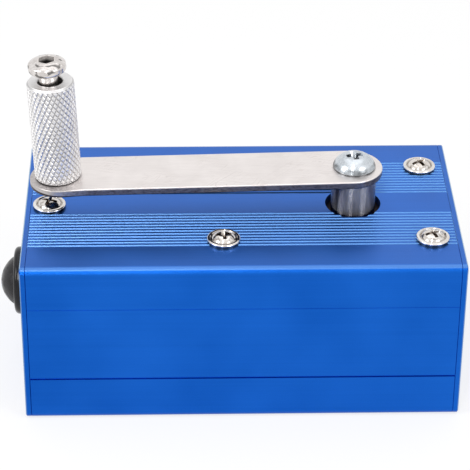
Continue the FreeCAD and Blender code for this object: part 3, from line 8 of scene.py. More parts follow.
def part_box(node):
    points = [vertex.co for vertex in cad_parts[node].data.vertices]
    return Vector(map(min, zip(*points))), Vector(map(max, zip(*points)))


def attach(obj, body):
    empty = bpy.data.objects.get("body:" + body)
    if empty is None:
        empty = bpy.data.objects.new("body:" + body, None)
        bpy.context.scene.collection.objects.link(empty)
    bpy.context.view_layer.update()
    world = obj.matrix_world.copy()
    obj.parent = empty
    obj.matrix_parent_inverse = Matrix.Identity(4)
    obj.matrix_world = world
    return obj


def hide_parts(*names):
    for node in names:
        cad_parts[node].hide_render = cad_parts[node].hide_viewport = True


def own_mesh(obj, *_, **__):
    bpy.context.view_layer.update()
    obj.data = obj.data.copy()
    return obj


bl_info = {
    "name": "Hand Crank Generator",
    "version": (1, 0, 0),
    "blender": (4, 5, 0),
    "location": "View3D > Sidebar > Generator",
    "description": "Dresses the hand crank generator: finishes, knurled handle and studio",
    "category": "Object",
}

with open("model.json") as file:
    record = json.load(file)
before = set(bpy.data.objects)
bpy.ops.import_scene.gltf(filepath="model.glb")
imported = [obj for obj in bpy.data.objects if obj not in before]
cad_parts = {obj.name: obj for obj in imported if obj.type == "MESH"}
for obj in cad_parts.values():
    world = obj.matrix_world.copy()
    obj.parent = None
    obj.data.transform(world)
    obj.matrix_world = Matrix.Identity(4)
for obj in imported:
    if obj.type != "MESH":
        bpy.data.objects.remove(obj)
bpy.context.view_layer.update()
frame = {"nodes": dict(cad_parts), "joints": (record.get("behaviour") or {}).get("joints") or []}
NODES = frame["nodes"]
SLOT_OF = {name: node.material_slots[0].material.name for name, node in NODES.items()}
JOINTS = {joint["name"]: joint for joint in frame["joints"]}
MM = 0.001
FULL_TURN = 2 * math.pi

# Heights, radii and places on the CAD model, in millimetres.
HALF_LENGTH, HALF_DEPTH, ROOF = (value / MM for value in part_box("right_end_panel")[1])
RIB_DEPTH = 0.28
RIB_REACH = 23.0
TOP_SCREWS = ((-5.0, -18.8), (-5.0, 18.8), (50.1, -18.8), (50.1, 18.8), (-51.5, -0.7))
TOP_SCREW_RECESS = 2.6
TOP_SCREW_GROOVE = (3.15, 3.5)
TOP_SCREW_DOME = 3.2
BUSH_SHADE_HEIGHTS = (30.0, 36.0)
ARM_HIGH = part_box("crank_arm")[1][2] / MM
ARM_LOW = ARM_HIGH - 2.0
ARM_OUTER_END = (-40.0, -52.0)
SHAFT_AXIS = [value / MM for value in JOINTS["crank_turn"]["pos_m"][:2]]
ARM_SCREW_RECESS = 2.3
PIN_BASE = Vector(JOINTS["grip_spin"]["pos_m"]) / MM
PIN_AXIS = Vector((-0.0558, -0.0021, 0.9984))
PIN_TOP = 34.5
PIN_RIM = (3.4, 5.2)
PIN_HEAD_DEPTH = 3.4
SOCKET_REACH = 2.36
SOCKET_DEPTH = 2.6
KNURL_GROOVES = (5.8, 5.96, 6.12)
GRIP_BORE = (3.3, 3.6)
BUTTON_TRAVEL = JOINTS["button_press"]["range_m"][1] / MM

# The handle, in metres: how far each diamond's point stands above its rim, the share of a
# diamond's width that each sloped side takes, the bend from which an edge looks sharp, and how
# close points are that count as one.
KNURL_CROWN = 0.08 * MM
KNURL_SLOPE = 0.20
SHARP_ANGLE = math.radians(22)
TOUCHING = 0.001 * MM

# Turn, stretch and width of the two families of scratches on worked metal.
SCRATCHES = ((0.25, (0.05, 1.1, 1.1), 0.018), (-0.85, (0.06, 0.9, 0.9), 0.014))

# The studio: the camera, the lamps' places and sizes in metres, how far from the piece, in
# millimetres, the floor starts and ends its change to plain white, and how much of that white it
# already has near the piece.
CAMERA_PLACE = Vector((-17.028, -508.840, 351.408)) * MM
CAMERA_PITCH = math.radians(31.698)
CAMERA_YAW = math.radians(1.752)
CAMERA_ROLL = math.radians(0.507)
LAMPS = (
    ("overhead", (0.02, 0.16, 0.62), (0.55, 0.55)),
    ("left", (-0.54, -0.24, 0.43), (0.28, 0.40)),
    ("right", (0.483, -0.423, 0.43), (0.30, 0.40)),
    ("strip", (-0.105, -0.480, 0.520), (0.042, 0.90)),
)
LAMPS_AIM = Vector((0, 0, 0.03))
FLOOR_CHANGE = (150, 500)
FLOOR_NEAR_SHARE = 0.72


# ---------------------------------------------------------------- shader graphs

class Wire:
    """One output of a node; arithmetic on it adds the Math nodes that it needs."""

    def __init__(self, graph, socket):
        self.graph = graph
        self.socket = socket

    def __add__(self, other):
        return self.graph.math("ADD", self, other)

    __radd__ = __add__

    def __sub__(self, other):
        return self.graph.math("SUBTRACT", self, other)

    def __rsub__(self, other):
        return self.graph.math("SUBTRACT", other, self)

    def __mul__(self, other):
        return self.graph.math("MULTIPLY", self, other)

    __rmul__ = __mul__

    def __gt__(self, other):
        return self.graph.math("GREATER_THAN", self, other)

    def __lt__(self, other):
        return self.graph.math("LESS_THAN", self, other)


class Graph:
    """The node tree of one material, or of the world."""

    def __init__(self, owner):
        owner.use_nodes = True
        self.tree = owner.node_tree
        self.tree.nodes.clear()

    def add(self, kind, settings=None, values=None, output=0):
        """Adds a node, sets its settings, fills or links its sockets, and returns one output."""
        node = self.tree.nodes.new("ShaderNode" + kind)
        for name, value in (settings or {}).items():
            if name == "stops":
                for _ in value[2:]:
                    node.color_ramp.elements.new(0.5)
                for element, (place, grey) in zip(node.color_ramp.elements, value):
                    element.position = place
                    element.color = (grey, grey, grey, 1)
            else:
                setattr(node, name, value)
        for key, value in (values or {}).items():
            if isinstance(value, Wire):
                self.tree.links.new(value.socket, node.inputs[key])
            else:
                node.inputs[key].default_value = value
        return Wire(self, node.outputs[output]) if node.outputs else None

    def math(self, operation, first, second=0.0):
        return self.add("Math", {"operation": operation}, {0: first, 1: second})

    def place(self, scale=(1, 1, 1), turn=(0, 0, 0)):
        """Object coordinates in millimetres, stretched and then turned."""
        return self.add("Mapping", {}, {
            "Vector": self.add("TexCoord", output="Object"),
            "Rotation": turn,
            "Scale": tuple(value / MM for value in scale),
        })

    def axes(self):
        """Object coordinates in millimetres as three wires."""
        split = self.add("SeparateXYZ", {}, {0: self.place()}).socket.node
        return [Wire(self, output) for output in split.outputs]

    def size_of(self, value):
        return self.math("ABSOLUTE", value)

    def least(self, values):
        """The smallest of several wires."""
        smallest = values[0]
        for value in values[1:]:
            smallest = self.math("MINIMUM", smallest, value)
        return smallest

    def near_limit(self, value, limit, start):
        """One where a value's size comes up to a limit, fading in from start before it."""
        return self.fade(self.size_of(value), limit - start, limit - 0.1)

    def off_axis(self, x, y):
        """Distance in plan from an upright axis, in millimetres."""
        return self.add("VectorMath", {"operation": "DISTANCE"},
                        {0: self.place((1, 1, 0)), 1: (x, y, 0)}, "Value")

    def off_line(self, base, axis):
        """Distance from a leaning axis, in millimetres."""
        from_base = self.add("VectorMath", {"operation": "SUBTRACT"},
                             {0: self.place(), 1: tuple(base)})
        across = self.add("VectorMath", {"operation": "CROSS_PRODUCT"},
                          {0: from_base, 1: tuple(axis)})
        return self.add("VectorMath", {"operation": "LENGTH"}, {0: across}, "Value")

    def band(self, value, low, high, edge):
        """One between two values, fading to nothing over the edge's width."""
        rise = self.fade(value, low - edge, low)
        return rise - self.fade(value, high, high + edge)

    def sees_background(self):
        """One for the rays that show the plain background: camera, glossy and transmitted."""
        path = self.add("LightPath").socket.node
        rays = [Wire(self, path.outputs[name])
                for name in ("Is Camera Ray", "Is Glossy Ray", "Is Transmission Ray")]
        return self.math("MINIMUM", rays[0] + rays[1] + rays[2], 1.0)

    def noise(self, where, scale, detail=2.0, rough=0.5, distortion=0.0):
        return self.add("TexNoise", {}, {
            "Vector": where, "Scale": scale, "Detail": detail,
            "Roughness": rough, "Distortion": distortion,
        })

    def cell_walls(self, where, randomness=1.0):
        """Distance from the walls between irregular cells."""
        return self.add("TexVoronoi", {"feature": "DISTANCE_TO_EDGE"}, {
            "Vector": where, "Scale": 1.0, "Randomness": randomness,
        })

    def fade(self, value, low, high, to_low=0.0, to_high=1.0):
        """Carries a value from one range to another, clamped."""
        return self.add("MapRange", {}, {
            "Value": value, "From Min": low, "From Max": high,
            "To Min": to_low, "To Max": to_high,
        })

    def blend(self, factor, first, second):
        """A mix of two colours."""
        first, second = (c if isinstance(c, Wire) else (*c, 1) for c in (first, second))
        return self.add("Mix", {"data_type": "RGBA"}, {0: factor, 6: first, 7: second}, 2)

    def finish(self, color, roughness, height, relief, **others):
        """Ends a material in one Principled shader. relief is the height's depth in millimetres."""
        bump = self.add("Bump", {}, {"Strength": 1.0, "Distance": relief * MM, "Height": height})
        values = {name.replace("_", " "): value for name, value in others.items()}
        shader = self.add("BsdfPrincipled", {}, {
            "Base Color": color, "Roughness": roughness, "Normal": bump, **values,
        })
        self.add("OutputMaterial", {}, {"Surface": shader})


def new_material(name):
    material = bpy.data.materials.new(name)
    return material, Graph(material)


def anodised(name, deep, light, painted_highlight, grain, roughness):
    """Bead-blasted aluminium dyed in an anodising bath, drawn along X and sealed.

    The sealed layer is thickest on the rounded edges and on the slopes of the ribs, and there a
    painted highlight also lightens the colour to a pale blue.
    """
    material, g = new_material(name)
    x, y, z = g.axes()
    blast = g.noise(g.place(), grain, 3.0, 0.6)
    drawn = g.noise(g.place((0.01, 1.6, 1.6)), 1.0, 3.0, 0.6)
    cloud = g.noise(g.place(), 0.05, 2.0, 0.5)
    tone = g.fade(blast * 0.4 + drawn * 0.2 + cloud * 0.4, 0.32, 0.68)
    color = g.blend(tone, deep, light)
    slope = g.band(z, ROOF - RIB_DEPTH * 0.8, ROOF - RIB_DEPTH * 0.1, RIB_DEPTH * 0.1)
    slope = slope * (g.size_of(y) < RIB_REACH)
    side = g.math("MAXIMUM", g.near_limit(y, HALF_DEPTH, 0.4),
                  g.near_limit(z - ROOF / 2, ROOF / 2, 0.4))
    edge = g.near_limit(x, HALF_LENGTH, 0.35) * side
    roof = g.fade(z, ROOF - 0.06, ROOF - 0.01)
    bend = g.band(z, ROOF - 0.50, ROOF - 0.08, 0.12)
    # Painted highlight: the rib slopes, the panel edges and the rounded edges are lightened to a
    # pale blue.
    color = g.blend(slope * 0.14 + edge * 0.6 + bend * 0.18, color, painted_highlight)
    gloss = roughness + (cloud - 0.5) * 0.10 + (drawn - 0.5) * 0.06
    coat = g.fade(bend * 0.35 + edge + roof * 0.02 + slope * 0.04, 0.0, 1.0)
    g.finish(color, gloss, blast + drawn * 0.2, 0.012, Metallic=1.0, Coat_Weight=coat,
             Coat_Roughness=0.22)
    return material


def worked_metal(name, dark, light, roughness, lay=(1, 1, 1), pitch=3.0, relief=0.004,
                 smudge=0.06, scratches=0.0, contrast=0.15, darkening=None,
                 darkening_color=(0.02, 0.018, 0.016), matting=None):
    """Bare or plated metal: tool lay, handling smudges, fine scratches and painted shade.

    The two functions take the graph; the first returns how dark each place is painted, from 0 to
    1, mostly as painted shade and painted reflection, and matting how much rougher.
    """
    material, g = new_material(name)
    lines = g.noise(g.place(lay), pitch, 3.0, 0.6)
    cloud = g.noise(g.place(), 0.16, 3.0, 0.55, 0.6)
    tone = g.fade(lines * 0.45 + cloud * 0.55, 0.5 - contrast, 0.5 + contrast)
    gloss = roughness + (cloud - 0.5) * (2 * smudge) + (lines - 0.5) * smudge
    height = lines
    if scratches:
        scratch = 0.0
        for turn, stretch, width in SCRATCHES:
            turned = g.add("Mapping", {}, {"Vector": g.place(turn=(0, 0, turn)), "Scale": stretch})
            scratch = scratch + (g.cell_walls(turned) < width)
        sparse = g.fade(g.noise(g.place(), 0.09, 1.0), 0.50, 0.56)
        marks = scratch * sparse * scratches
        gloss = gloss + marks * 0.15
        height = lines - marks
        tone = tone - marks * 0.8
    color = g.blend(tone, dark, light)
    # Painted shade: the first function's mask mixes painted shade and dark reflections into the
    # colour.
    if darkening:
        color = g.blend(darkening(g), color, darkening_color)
    if matting:
        gloss = gloss + matting(g)
    g.finish(color, gloss, height, relief, Metallic=1.0)
    return material


def screw_painted_shade(g):
    """Painted shade in recesses, dome grooves and under heads; painted reflection mottling the
    domes.
    """
    z = g.axes()[2]
    heads = g.least([g.off_axis(*place) for place in TOP_SCREWS])
    recess = (heads < TOP_SCREW_RECESS) * g.fade(z, ROOF + 1.6, ROOF + 0.9)
    groove = g.band(heads, *TOP_SCREW_GROOVE, 0.2) * (z > ROOF + 0.5)
    foot = g.band(z, ROOF, ROOF + 0.55, 0.12)
    mottle = g.fade(g.noise(g.place(), 0.9, 3.0, 0.6), 0.52, 0.62) * (heads < TOP_SCREW_DOME)
    return g.fade(recess * 0.75 + groove * 0.45 + foot * 0.95 + mottle * 0.50, 0.0, 1.0)


def arm_screw_painted_shade(g):
    """Painted shade in the screw's recess and under its head, painted reflection low on its dome.
    """
    z = g.axes()[2]
    in_recess = g.off_axis(*SHAFT_AXIS) < ARM_SCREW_RECESS
    recess = in_recess * g.fade(z, ARM_HIGH + 3.1, ARM_HIGH + 1.8) * 0.75
    foot = g.band(z, ARM_HIGH, ARM_HIGH + 0.25, 0.15) * 0.8
    low_dome_reflection = g.band(z, ARM_HIGH + 0.55, ARM_HIGH + 1.35, 0.45)
    patches = g.fade(g.noise(g.place(), 0.35, 1.0), 0.42, 0.58)
    return g.fade(recess + foot + low_dome_reflection * (0.25 + patches * 0.45), 0.0, 0.95)


def arm_painted_shade_and_nicks(g):
    """Painted shade on the arm's underside and sides, less at the outer end; the sides are nicked.
    """
    x, _, z = g.axes()
    under = g.fade(z, ARM_LOW + 0.25, ARM_LOW + 0.05)
    sides = g.fade(z, ARM_HIGH - 0.10, ARM_HIGH - 0.45)
    nicks = g.fade(g.noise(g.place((0.6, 1, 2)), 1.4, 4.0, 0.7), 0.45, 0.65)
    outer_end = g.fade(x, *ARM_OUTER_END)
    return g.fade(under * 0.95 + sides * (0.78 - outer_end * 0.45 + nicks * 0.16), 0.0, 0.95)


def in_socket(g):
    """The inside of the pin's hex socket, as one or nothing, and the depth below its mouth."""
    z = g.axes()[2]
    mouth = PIN_BASE + PIN_AXIS * PIN_TOP
    inside = (g.off_axis(mouth.x, mouth.y) < SOCKET_REACH) * (z > mouth.z - SOCKET_DEPTH)
    return inside, mouth.z - z


def pin_painted_shade(g):
    """Painted shade deep in the pin's hex socket; painted reflection as dark spots round its head.
    """
    inside, depth = in_socket(g)
    rim = g.band(g.off_line(PIN_BASE, PIN_AXIS), *PIN_RIM, 0.4) * (depth < PIN_HEAD_DEPTH)
    spots = g.fade(g.noise(g.place((1, 1, 1.6)), 0.42, 1.0), 0.56, 0.62)
    return inside * g.fade(depth, 0.8, 1.5) * 0.94 + (1 - inside) * rim * spots * 0.75


def pin_matting(g):
    """The socket's walls were broached and left dull."""
    inside, _ = in_socket(g)
    return inside * 0.45


def knurl_groove_darkening(g):
    """Darker in the grooves between the diamonds and inside the bore."""
    radius = g.off_line(PIN_BASE, Vector(JOINTS["grip_spin"]["axis"]))
    inner, floor, side = KNURL_GROOVES
    bore, mouth = GRIP_BORE
    return g.fade(radius, side, floor) * (radius > inner) * 0.36 + g.fade(radius, mouth, bore) * 0.3


def bush_painted_shade(g):
    """Painted shade blackens the upper bush, down in the hole round the shaft."""
    return g.fade(g.axes()[2], *BUSH_SHADE_HEIGHTS) * 0.96


def moulded(name, dark, light, roughness, pitch=4.0, relief=0.01, smudge=0.10,
            smudge_pitch=0.2, gloss_level=0.5):
    """Moulded plastic, rubber or resin with a fine spark texture and handling smudges."""
    material, g = new_material(name)
    spark = g.noise(g.place(), pitch, 4.0, 0.65)
    cloud = g.noise(g.place(), smudge_pitch, 2.0)
    tone = g.fade(spark * 0.5 + cloud * 0.5, 0.35, 0.65)
    gloss = g.fade(cloud, 0.35, 0.65, roughness, roughness + smudge) + (spark - 0.5) * 0.03
    g.finish(g.blend(tone, dark, light), gloss, spark, relief, Specular_IOR_Level=gloss_level)
    return material


def turned_shaft(name, dark, light):
    """Steel turned on a lathe: fine rings that draw each lamp out into an upright streak."""
    material, g = new_material(name)
    rings = g.add("TexWave", {"bands_direction": "Z", "wave_profile": "SIN"}, {
        "Vector": g.place(), "Scale": 1.1, "Distortion": 0.04, "Detail": 0.0,
    })
    cloud = g.noise(g.place((1, 1, 0.2)), 0.5, 2.0)
    gloss = 0.16 + (cloud - 0.5) * 0.05
    g.finish(g.blend(g.fade(cloud, 0.35, 0.65), dark, light), gloss, rings, 0.05, Metallic=1.0)
    return material


def windings(name, dark, light):
    """Enamelled copper wire laid side by side round the stator's teeth."""
    material, g = new_material(name)
    turns = g.add("TexWave", {"bands_direction": "Z", "wave_profile": "SIN"}, {
        "Vector": g.place(), "Scale": 0.9, "Distortion": 0.6, "Detail": 1.0,
    })
    cloud = g.noise(g.place(), 0.6, 2.0)
    tone = g.fade(turns * 0.7 + cloud * 0.3, 0.2, 0.9)
    gloss = 0.26 + (cloud - 0.5) * 0.12
    g.finish(g.blend(tone, dark, light), gloss, turns, 0.08, Metallic=0.9, Coat_Weight=0.4)
    return material


def laminated(name, dark, light):
    """Stacked electrical steel sheets, 0.5 mm each."""
    material, g = new_material(name)
    sheets = g.add("TexWave", {"bands_direction": "Z", "wave_profile": "SAW"}, {
        "Vector": g.place(), "Scale": 0.32, "Distortion": 0.05,
    })
    cloud = g.noise(g.place(), 0.5, 3.0)
    tone = g.fade(sheets * 0.6 + cloud * 0.4, 0.2, 0.8)
    g.finish(g.blend(tone, dark, light), 0.45 + (cloud - 0.5) * 0.15, sheets, 0.05, Metallic=0.9)
    return material


def circuit_mask(name, board, track):
    """Green solder mask over copper tracks."""
    material, g = new_material(name)
    runs = g.cell_walls(g.place((0.35, 0.35, 0.0)), 0.35)
    copper = g.fade(runs, 0.05, 0.09, 1.0, 0.0)
    weave = g.noise(g.place(), 2.0, 2.0)
    color = g.blend(copper, board, track)
    g.finish(color, 0.30 + (weave - 0.5) * 0.1, copper * 0.6 + weave * 0.4, 0.03,
             Coat_Weight=0.3, Coat_Roughness=0.15)
    return material


# ---------------------------------------------------------------- modelling helpers

def clear_selection():
    if bpy.context.mode != "OBJECT":
        bpy.ops.object.mode_set(mode="OBJECT")
    bpy.ops.object.select_all(action="DESELECT")


def activate(piece):
    clear_selection()
    piece.select_set(True)
    bpy.context.view_layer.objects.active = piece


def apply_modifier(piece, kind, **settings):
    """Adds one modifier, sets it and applies it."""
    activate(piece)
    modifier = piece.modifiers.new(kind.lower(), kind)
    for name, value in settings.items():
        setattr(modifier, name, value)
    bpy.ops.object.modifier_apply(modifier=modifier.name)


def select_points(piece, test):
    """Opens the piece for editing with only the points that pass the test selected."""
    activate(piece)
    for face in piece.data.polygons:
        face.select = False
    for edge in piece.data.edges:
        edge.select = False
    for point in piece.data.vertices:
        point.select = test(point.co)
    bpy.ops.object.mode_set(mode="EDIT")
    bpy.ops.mesh.select_mode(type="VERT")


def close_editing():
    bpy.ops.object.mode_set(mode="OBJECT")


def ring_step(radius_from, radius_to, lift):
    """Draws the selected ring of edges on to a ring of another radius and height."""
    bpy.ops.mesh.extrude_region_move(TRANSFORM_OT_translate={"value": (0, 0, lift)})
    share = radius_to / radius_from
    bpy.ops.transform.resize(value=(share, share, 1), center_override=(0, 0, 0))


def set_upright_piece(piece, base, axis):
    """Moves a piece that was made standing on the origin to its base, along its own axis."""
    activate(piece)
    turn = Vector((0, 0, 1)).rotation_difference(axis)
    piece.matrix_world = Matrix.Translation(base) @ turn.to_matrix().to_4x4()
    bpy.ops.object.transform_apply(location=True, rotation=True, scale=True)


def give(piece, material):
    piece.data.materials.clear()
    piece.data.materials.append(material)


def give_slots(finishes):
    """Puts each finish on the CAD nodes whose material slot it is named for."""
    for name, node in NODES.items():
        if SLOT_OF[name] in finishes:
            for slot in node.material_slots:
                slot.material = finishes[SLOT_OF[name]]


# ---------------------------------------------------------------- settings

class CaseSettings(bpy.types.PropertyGroup):
    """Colours of the anodised case."""

    deep_blue: bpy.props.FloatVectorProperty(
        name="Deep blue", description="Darker tone of the dyed aluminium",
        default=(0.0050, 0.090, 0.460), subtype="COLOR", size=3, min=0, max=1)
    light_blue: bpy.props.FloatVectorProperty(
        name="Light blue", description="Lighter tone of the dyed aluminium",
        default=(0.0115, 0.134, 0.604), subtype="COLOR", size=3, min=0, max=1)
    # Painted highlight: the pale blue that the rib slopes, panel edges and rounded edges are
    # lightened to.
    painted_highlight_blue: bpy.props.FloatVectorProperty(
        name="Pale blue", description="Tone of the sealed edges and rib slopes",
        default=(0.30, 0.56, 0.62), subtype="COLOR", size=3, min=0, max=1)
    roughness: bpy.props.FloatProperty(
        name="Roughness", description="Gloss of the blasted surface",
        default=0.38, min=0, max=1, subtype="FACTOR")


class HandleSettings(bpy.types.PropertyGroup):
    """Sizes of the knurled handle."""

    diameter: bpy.props.FloatProperty(
        name="Diameter", description="Outside diameter over the knurl's points",
        default=12.5 * MM, unit="LENGTH", min=0.001)
    height: bpy.props.FloatProperty(
        name="Height", description="Length along the pin",
        default=28.3 * MM, unit="LENGTH", min=0.001)
    bore: bpy.props.FloatProperty(
        name="Bore", description="Diameter of the hole for the pin",
        default=6.6 * MM, unit="LENGTH", min=0.001)
    seat_gap: bpy.props.FloatProperty(
        name="Seat gap", description="Play between the arm and the handle's foot",
        default=0.2 * MM, unit="LENGTH", min=0)
    top_bevel: bpy.props.FloatProperty(
        name="Top bevel", description="Width of the turned edge at the top",
        default=0.55 * MM, unit="LENGTH", min=0)
    foot_bevel: bpy.props.FloatProperty(
        name="Foot bevel", description="Width of the turned edge at the foot",
        default=0.25 * MM, unit="LENGTH", min=0)
    bore_bevel: bpy.props.FloatProperty(
        name="Bore bevel", description="Width of the countersink at the bore's mouth",
        default=0.25 * MM, unit="LENGTH", min=0)
    starts: bpy.props.IntProperty(
        name="Starts", description="Diamonds round the handle", default=28, min=8)
    rows: bpy.props.IntProperty(
        name="Rows", description="Diamonds along the handle", default=12, min=2)
    depth: bpy.props.FloatProperty(
        name="Knurl depth", description="Depth of the rolled grooves",
        default=0.25 * MM, unit="LENGTH", min=0)
    skew: bpy.props.FloatProperty(
        name="Knurl skew", description="Turn of the pattern from foot to top",
        default=math.radians(-34), subtype="ANGLE")


class StudioSettings(bpy.types.PropertyGroup):
    """Light and camera."""

    lens: bpy.props.FloatProperty(
        name="Lens", description="Focal length on a 36 mm sensor", default=168.217, min=1)
    overhead_power: bpy.props.FloatProperty(
        name="Overhead lamp", description="Power of the soft box above", default=0.5,
        min=0, unit="POWER")
    left_power: bpy.props.FloatProperty(
        name="Left lamp", description="Power of the soft box at the left", default=1.7,
        min=0, unit="POWER")
    right_power: bpy.props.FloatProperty(
        name="Right lamp", description="Power of the soft box at the right", default=1.6,
        min=0, unit="POWER")
    strip_power: bpy.props.FloatProperty(
        name="Strip lamp", description="Power of the tall strip above the camera", default=1.2,
        min=0, unit="POWER")


SETTINGS = {
    "generator_case": CaseSettings,
    "generator_handle": HandleSettings,
    "generator_studio": StudioSettings,
}


def settings(name):
    return getattr(bpy.context.scene, name)


# ---------------------------------------------------------------- operators

class GENERATOR_OT_studio(bpy.types.Operator):
    """Sets the camera, the soft lamps, the world and the pale floor"""

    bl_idname = "generator.studio"
    bl_label = "Studio"

    def execute(self, context):
        self.camera(context)
        self.world(context)
        self.lamps(context)
        self.floor(context)
        context.scene.view_settings.view_transform = "Standard"
        return {"FINISHED"}

    def camera(self, context):
        heading = Vector((math.sin(CAMERA_YAW), math.cos(CAMERA_YAW), 0))
        ahead = math.cos(CAMERA_PITCH) * heading - math.sin(CAMERA_PITCH) * Vector((0, 0, 1))
        level = Vector((math.cos(CAMERA_YAW), -math.sin(CAMERA_YAW), 0))
        upright = level.cross(ahead)
        right = math.cos(CAMERA_ROLL) * level + math.sin(CAMERA_ROLL) * upright
        up = math.cos(CAMERA_ROLL) * upright - math.sin(CAMERA_ROLL) * level
        bpy.ops.object.camera_add()
        camera = context.object
        camera.name = "studio_camera"
        turn = Matrix((right, up, -ahead)).transposed().to_4x4()
        camera.matrix_world = Matrix.Translation(CAMERA_PLACE) @ turn
        camera.data.lens = settings("generator_studio").lens
        camera.data.sensor_width = 36
        camera.data.clip_start = 0.01
        context.scene.camera = camera

    def world(self, context):
        """A pale room lights the piece; the camera, metal and gloss see plain white."""
        world = bpy.data.worlds.new("studio_world")
        context.scene.world = world
        g = Graph(world)
        height = g.add("SeparateXYZ", {}, {0: g.add("TexCoord", output="Generated")}, "Z")
        stops = ((0.0, 0.7), (0.5, 0.22), (0.62, 0.42), (0.80, 0.85))
        room = g.add("ValToRGB", {"stops": stops}, {0: g.fade(height, -1, 1)})
        shown = g.blend(g.sees_background(), room, (1, 1, 1))
        shader = g.add("Background", {}, {"Color": shown, "Strength": 1.0})
        g.add("OutputWorld", {}, {"Surface": shader})

    def lamps(self, context):
        """Soft boxes, each turned toward the piece."""
        for name, place, size in LAMPS:
            bpy.ops.object.light_add(type="AREA", location=place)
            lamp = context.object
            lamp.name = name + "_box"
            lamp.data.shape = "RECTANGLE"
            lamp.data.size, lamp.data.size_y = size
            lamp.data.energy = getattr(settings("generator_studio"), name + "_power")
            toward_piece = LAMPS_AIM - Vector(place)
            lamp.rotation_euler = toward_piece.to_track_quat("-Z", "Y").to_euler()

    def floor(self, context):
        """A matt floor that keeps the piece's shadow near it, and is plain white farther off."""
        bpy.ops.mesh.primitive_plane_add(size=6)
        floor = context.object
        floor.name = "studio_floor"
        material, g = new_material("pale_floor")
        plain = g.fade(g.off_axis(0, 0), *FLOOR_CHANGE, FLOOR_NEAR_SHARE, 1.0)
        matt = g.add("BsdfDiffuse", {}, {"Color": (0.86, 0.86, 0.86, 1)})
        lit = g.add("Emission", {}, {"Color": (1, 1, 1, 1), "Strength": 1.0})
        shown = g.add("MixShader", {}, {0: g.sees_background() * plain, 1: matt, 2: lit})
        g.add("OutputMaterial", {}, {"Surface": shown})
        give(floor, material)


class GENERATOR_OT_case(bpy.types.Operator):
    """Gives the case, its panels and its screws their finishes"""

    bl_idname = "generator.case"
    bl_label = "Case"

    def execute(self, context):
        case = settings("generator_case")
        tones = (tuple(case.deep_blue), tuple(case.light_blue), tuple(case.painted_highlight_blue))
        give_slots({
            "blue_anodised_shell": anodised("anodised_blue", *tones, 5.0, case.roughness),
            "blue_end_panel": anodised("anodised_panel", *tones, 7.0, case.roughness - 0.04),
            # Painted shade in the recesses, grooves and under the heads, and painted reflection on
            # the domes.
            "chrome_screws": worked_metal(
                "bright_chrome", (0.64, 0.58, 0.53), (0.88, 0.86, 0.84), 0.15, pitch=1.5,
                relief=0.002, smudge=0.05, darkening=screw_painted_shade, darkening_color=(0.13, 0.098, 0.072)),
        })
        return {"FINISHED"}


class GENERATOR_OT_crank(bpy.types.Operator):
    """Gives the crank arm, the shaft and the pin their finishes"""

    bl_idname = "generator.crank"
    bl_label = "Crank"

    def execute(self, context):
        # Painted shade in the recess and under the head, and a painted dark reflection on the dome.
        NODES["arm_screw"].material_slots[0].material = worked_metal(
            "zinc_plated_arm_screw", (0.44, 0.48, 0.52), (0.68, 0.72, 0.76), 0.27, pitch=1.5,
            relief=0.003, smudge=0.06, darkening=arm_screw_painted_shade, darkening_color=(0.05, 0.05, 0.05))
        give_slots({
            # Painted shade on the arm's underside and sides.
            "crank_arm_steel": worked_metal(
                "satin_steel_arm", (0.70, 0.655, 0.64), (0.86, 0.815, 0.80), 0.36,
                lay=(0.08, 1.0, 1.0), pitch=2.2, relief=0.005, smudge=0.04, scratches=1.3,
                contrast=0.3, darkening=arm_painted_shade_and_nicks, darkening_color=(0.055, 0.045, 0.05)),
            # Painted shade: the shaft's steel colours are set dark for the shade and dark
            # reflections under the arm.
            "polished_shaft": turned_shaft("turned_steel_shaft", (0.13, 0.13, 0.16),
                                           (0.33, 0.33, 0.35)),
            # Painted shade in the hex socket and painted dark reflections round the head.
            "nickel_pin": worked_metal(
                "bright_nickel_pin", (0.58, 0.54, 0.52), (0.88, 0.85, 0.83), 0.17, pitch=1.5,
                relief=0.002, darkening=pin_painted_shade, matting=pin_matting),
        })
        return {"FINISHED"}


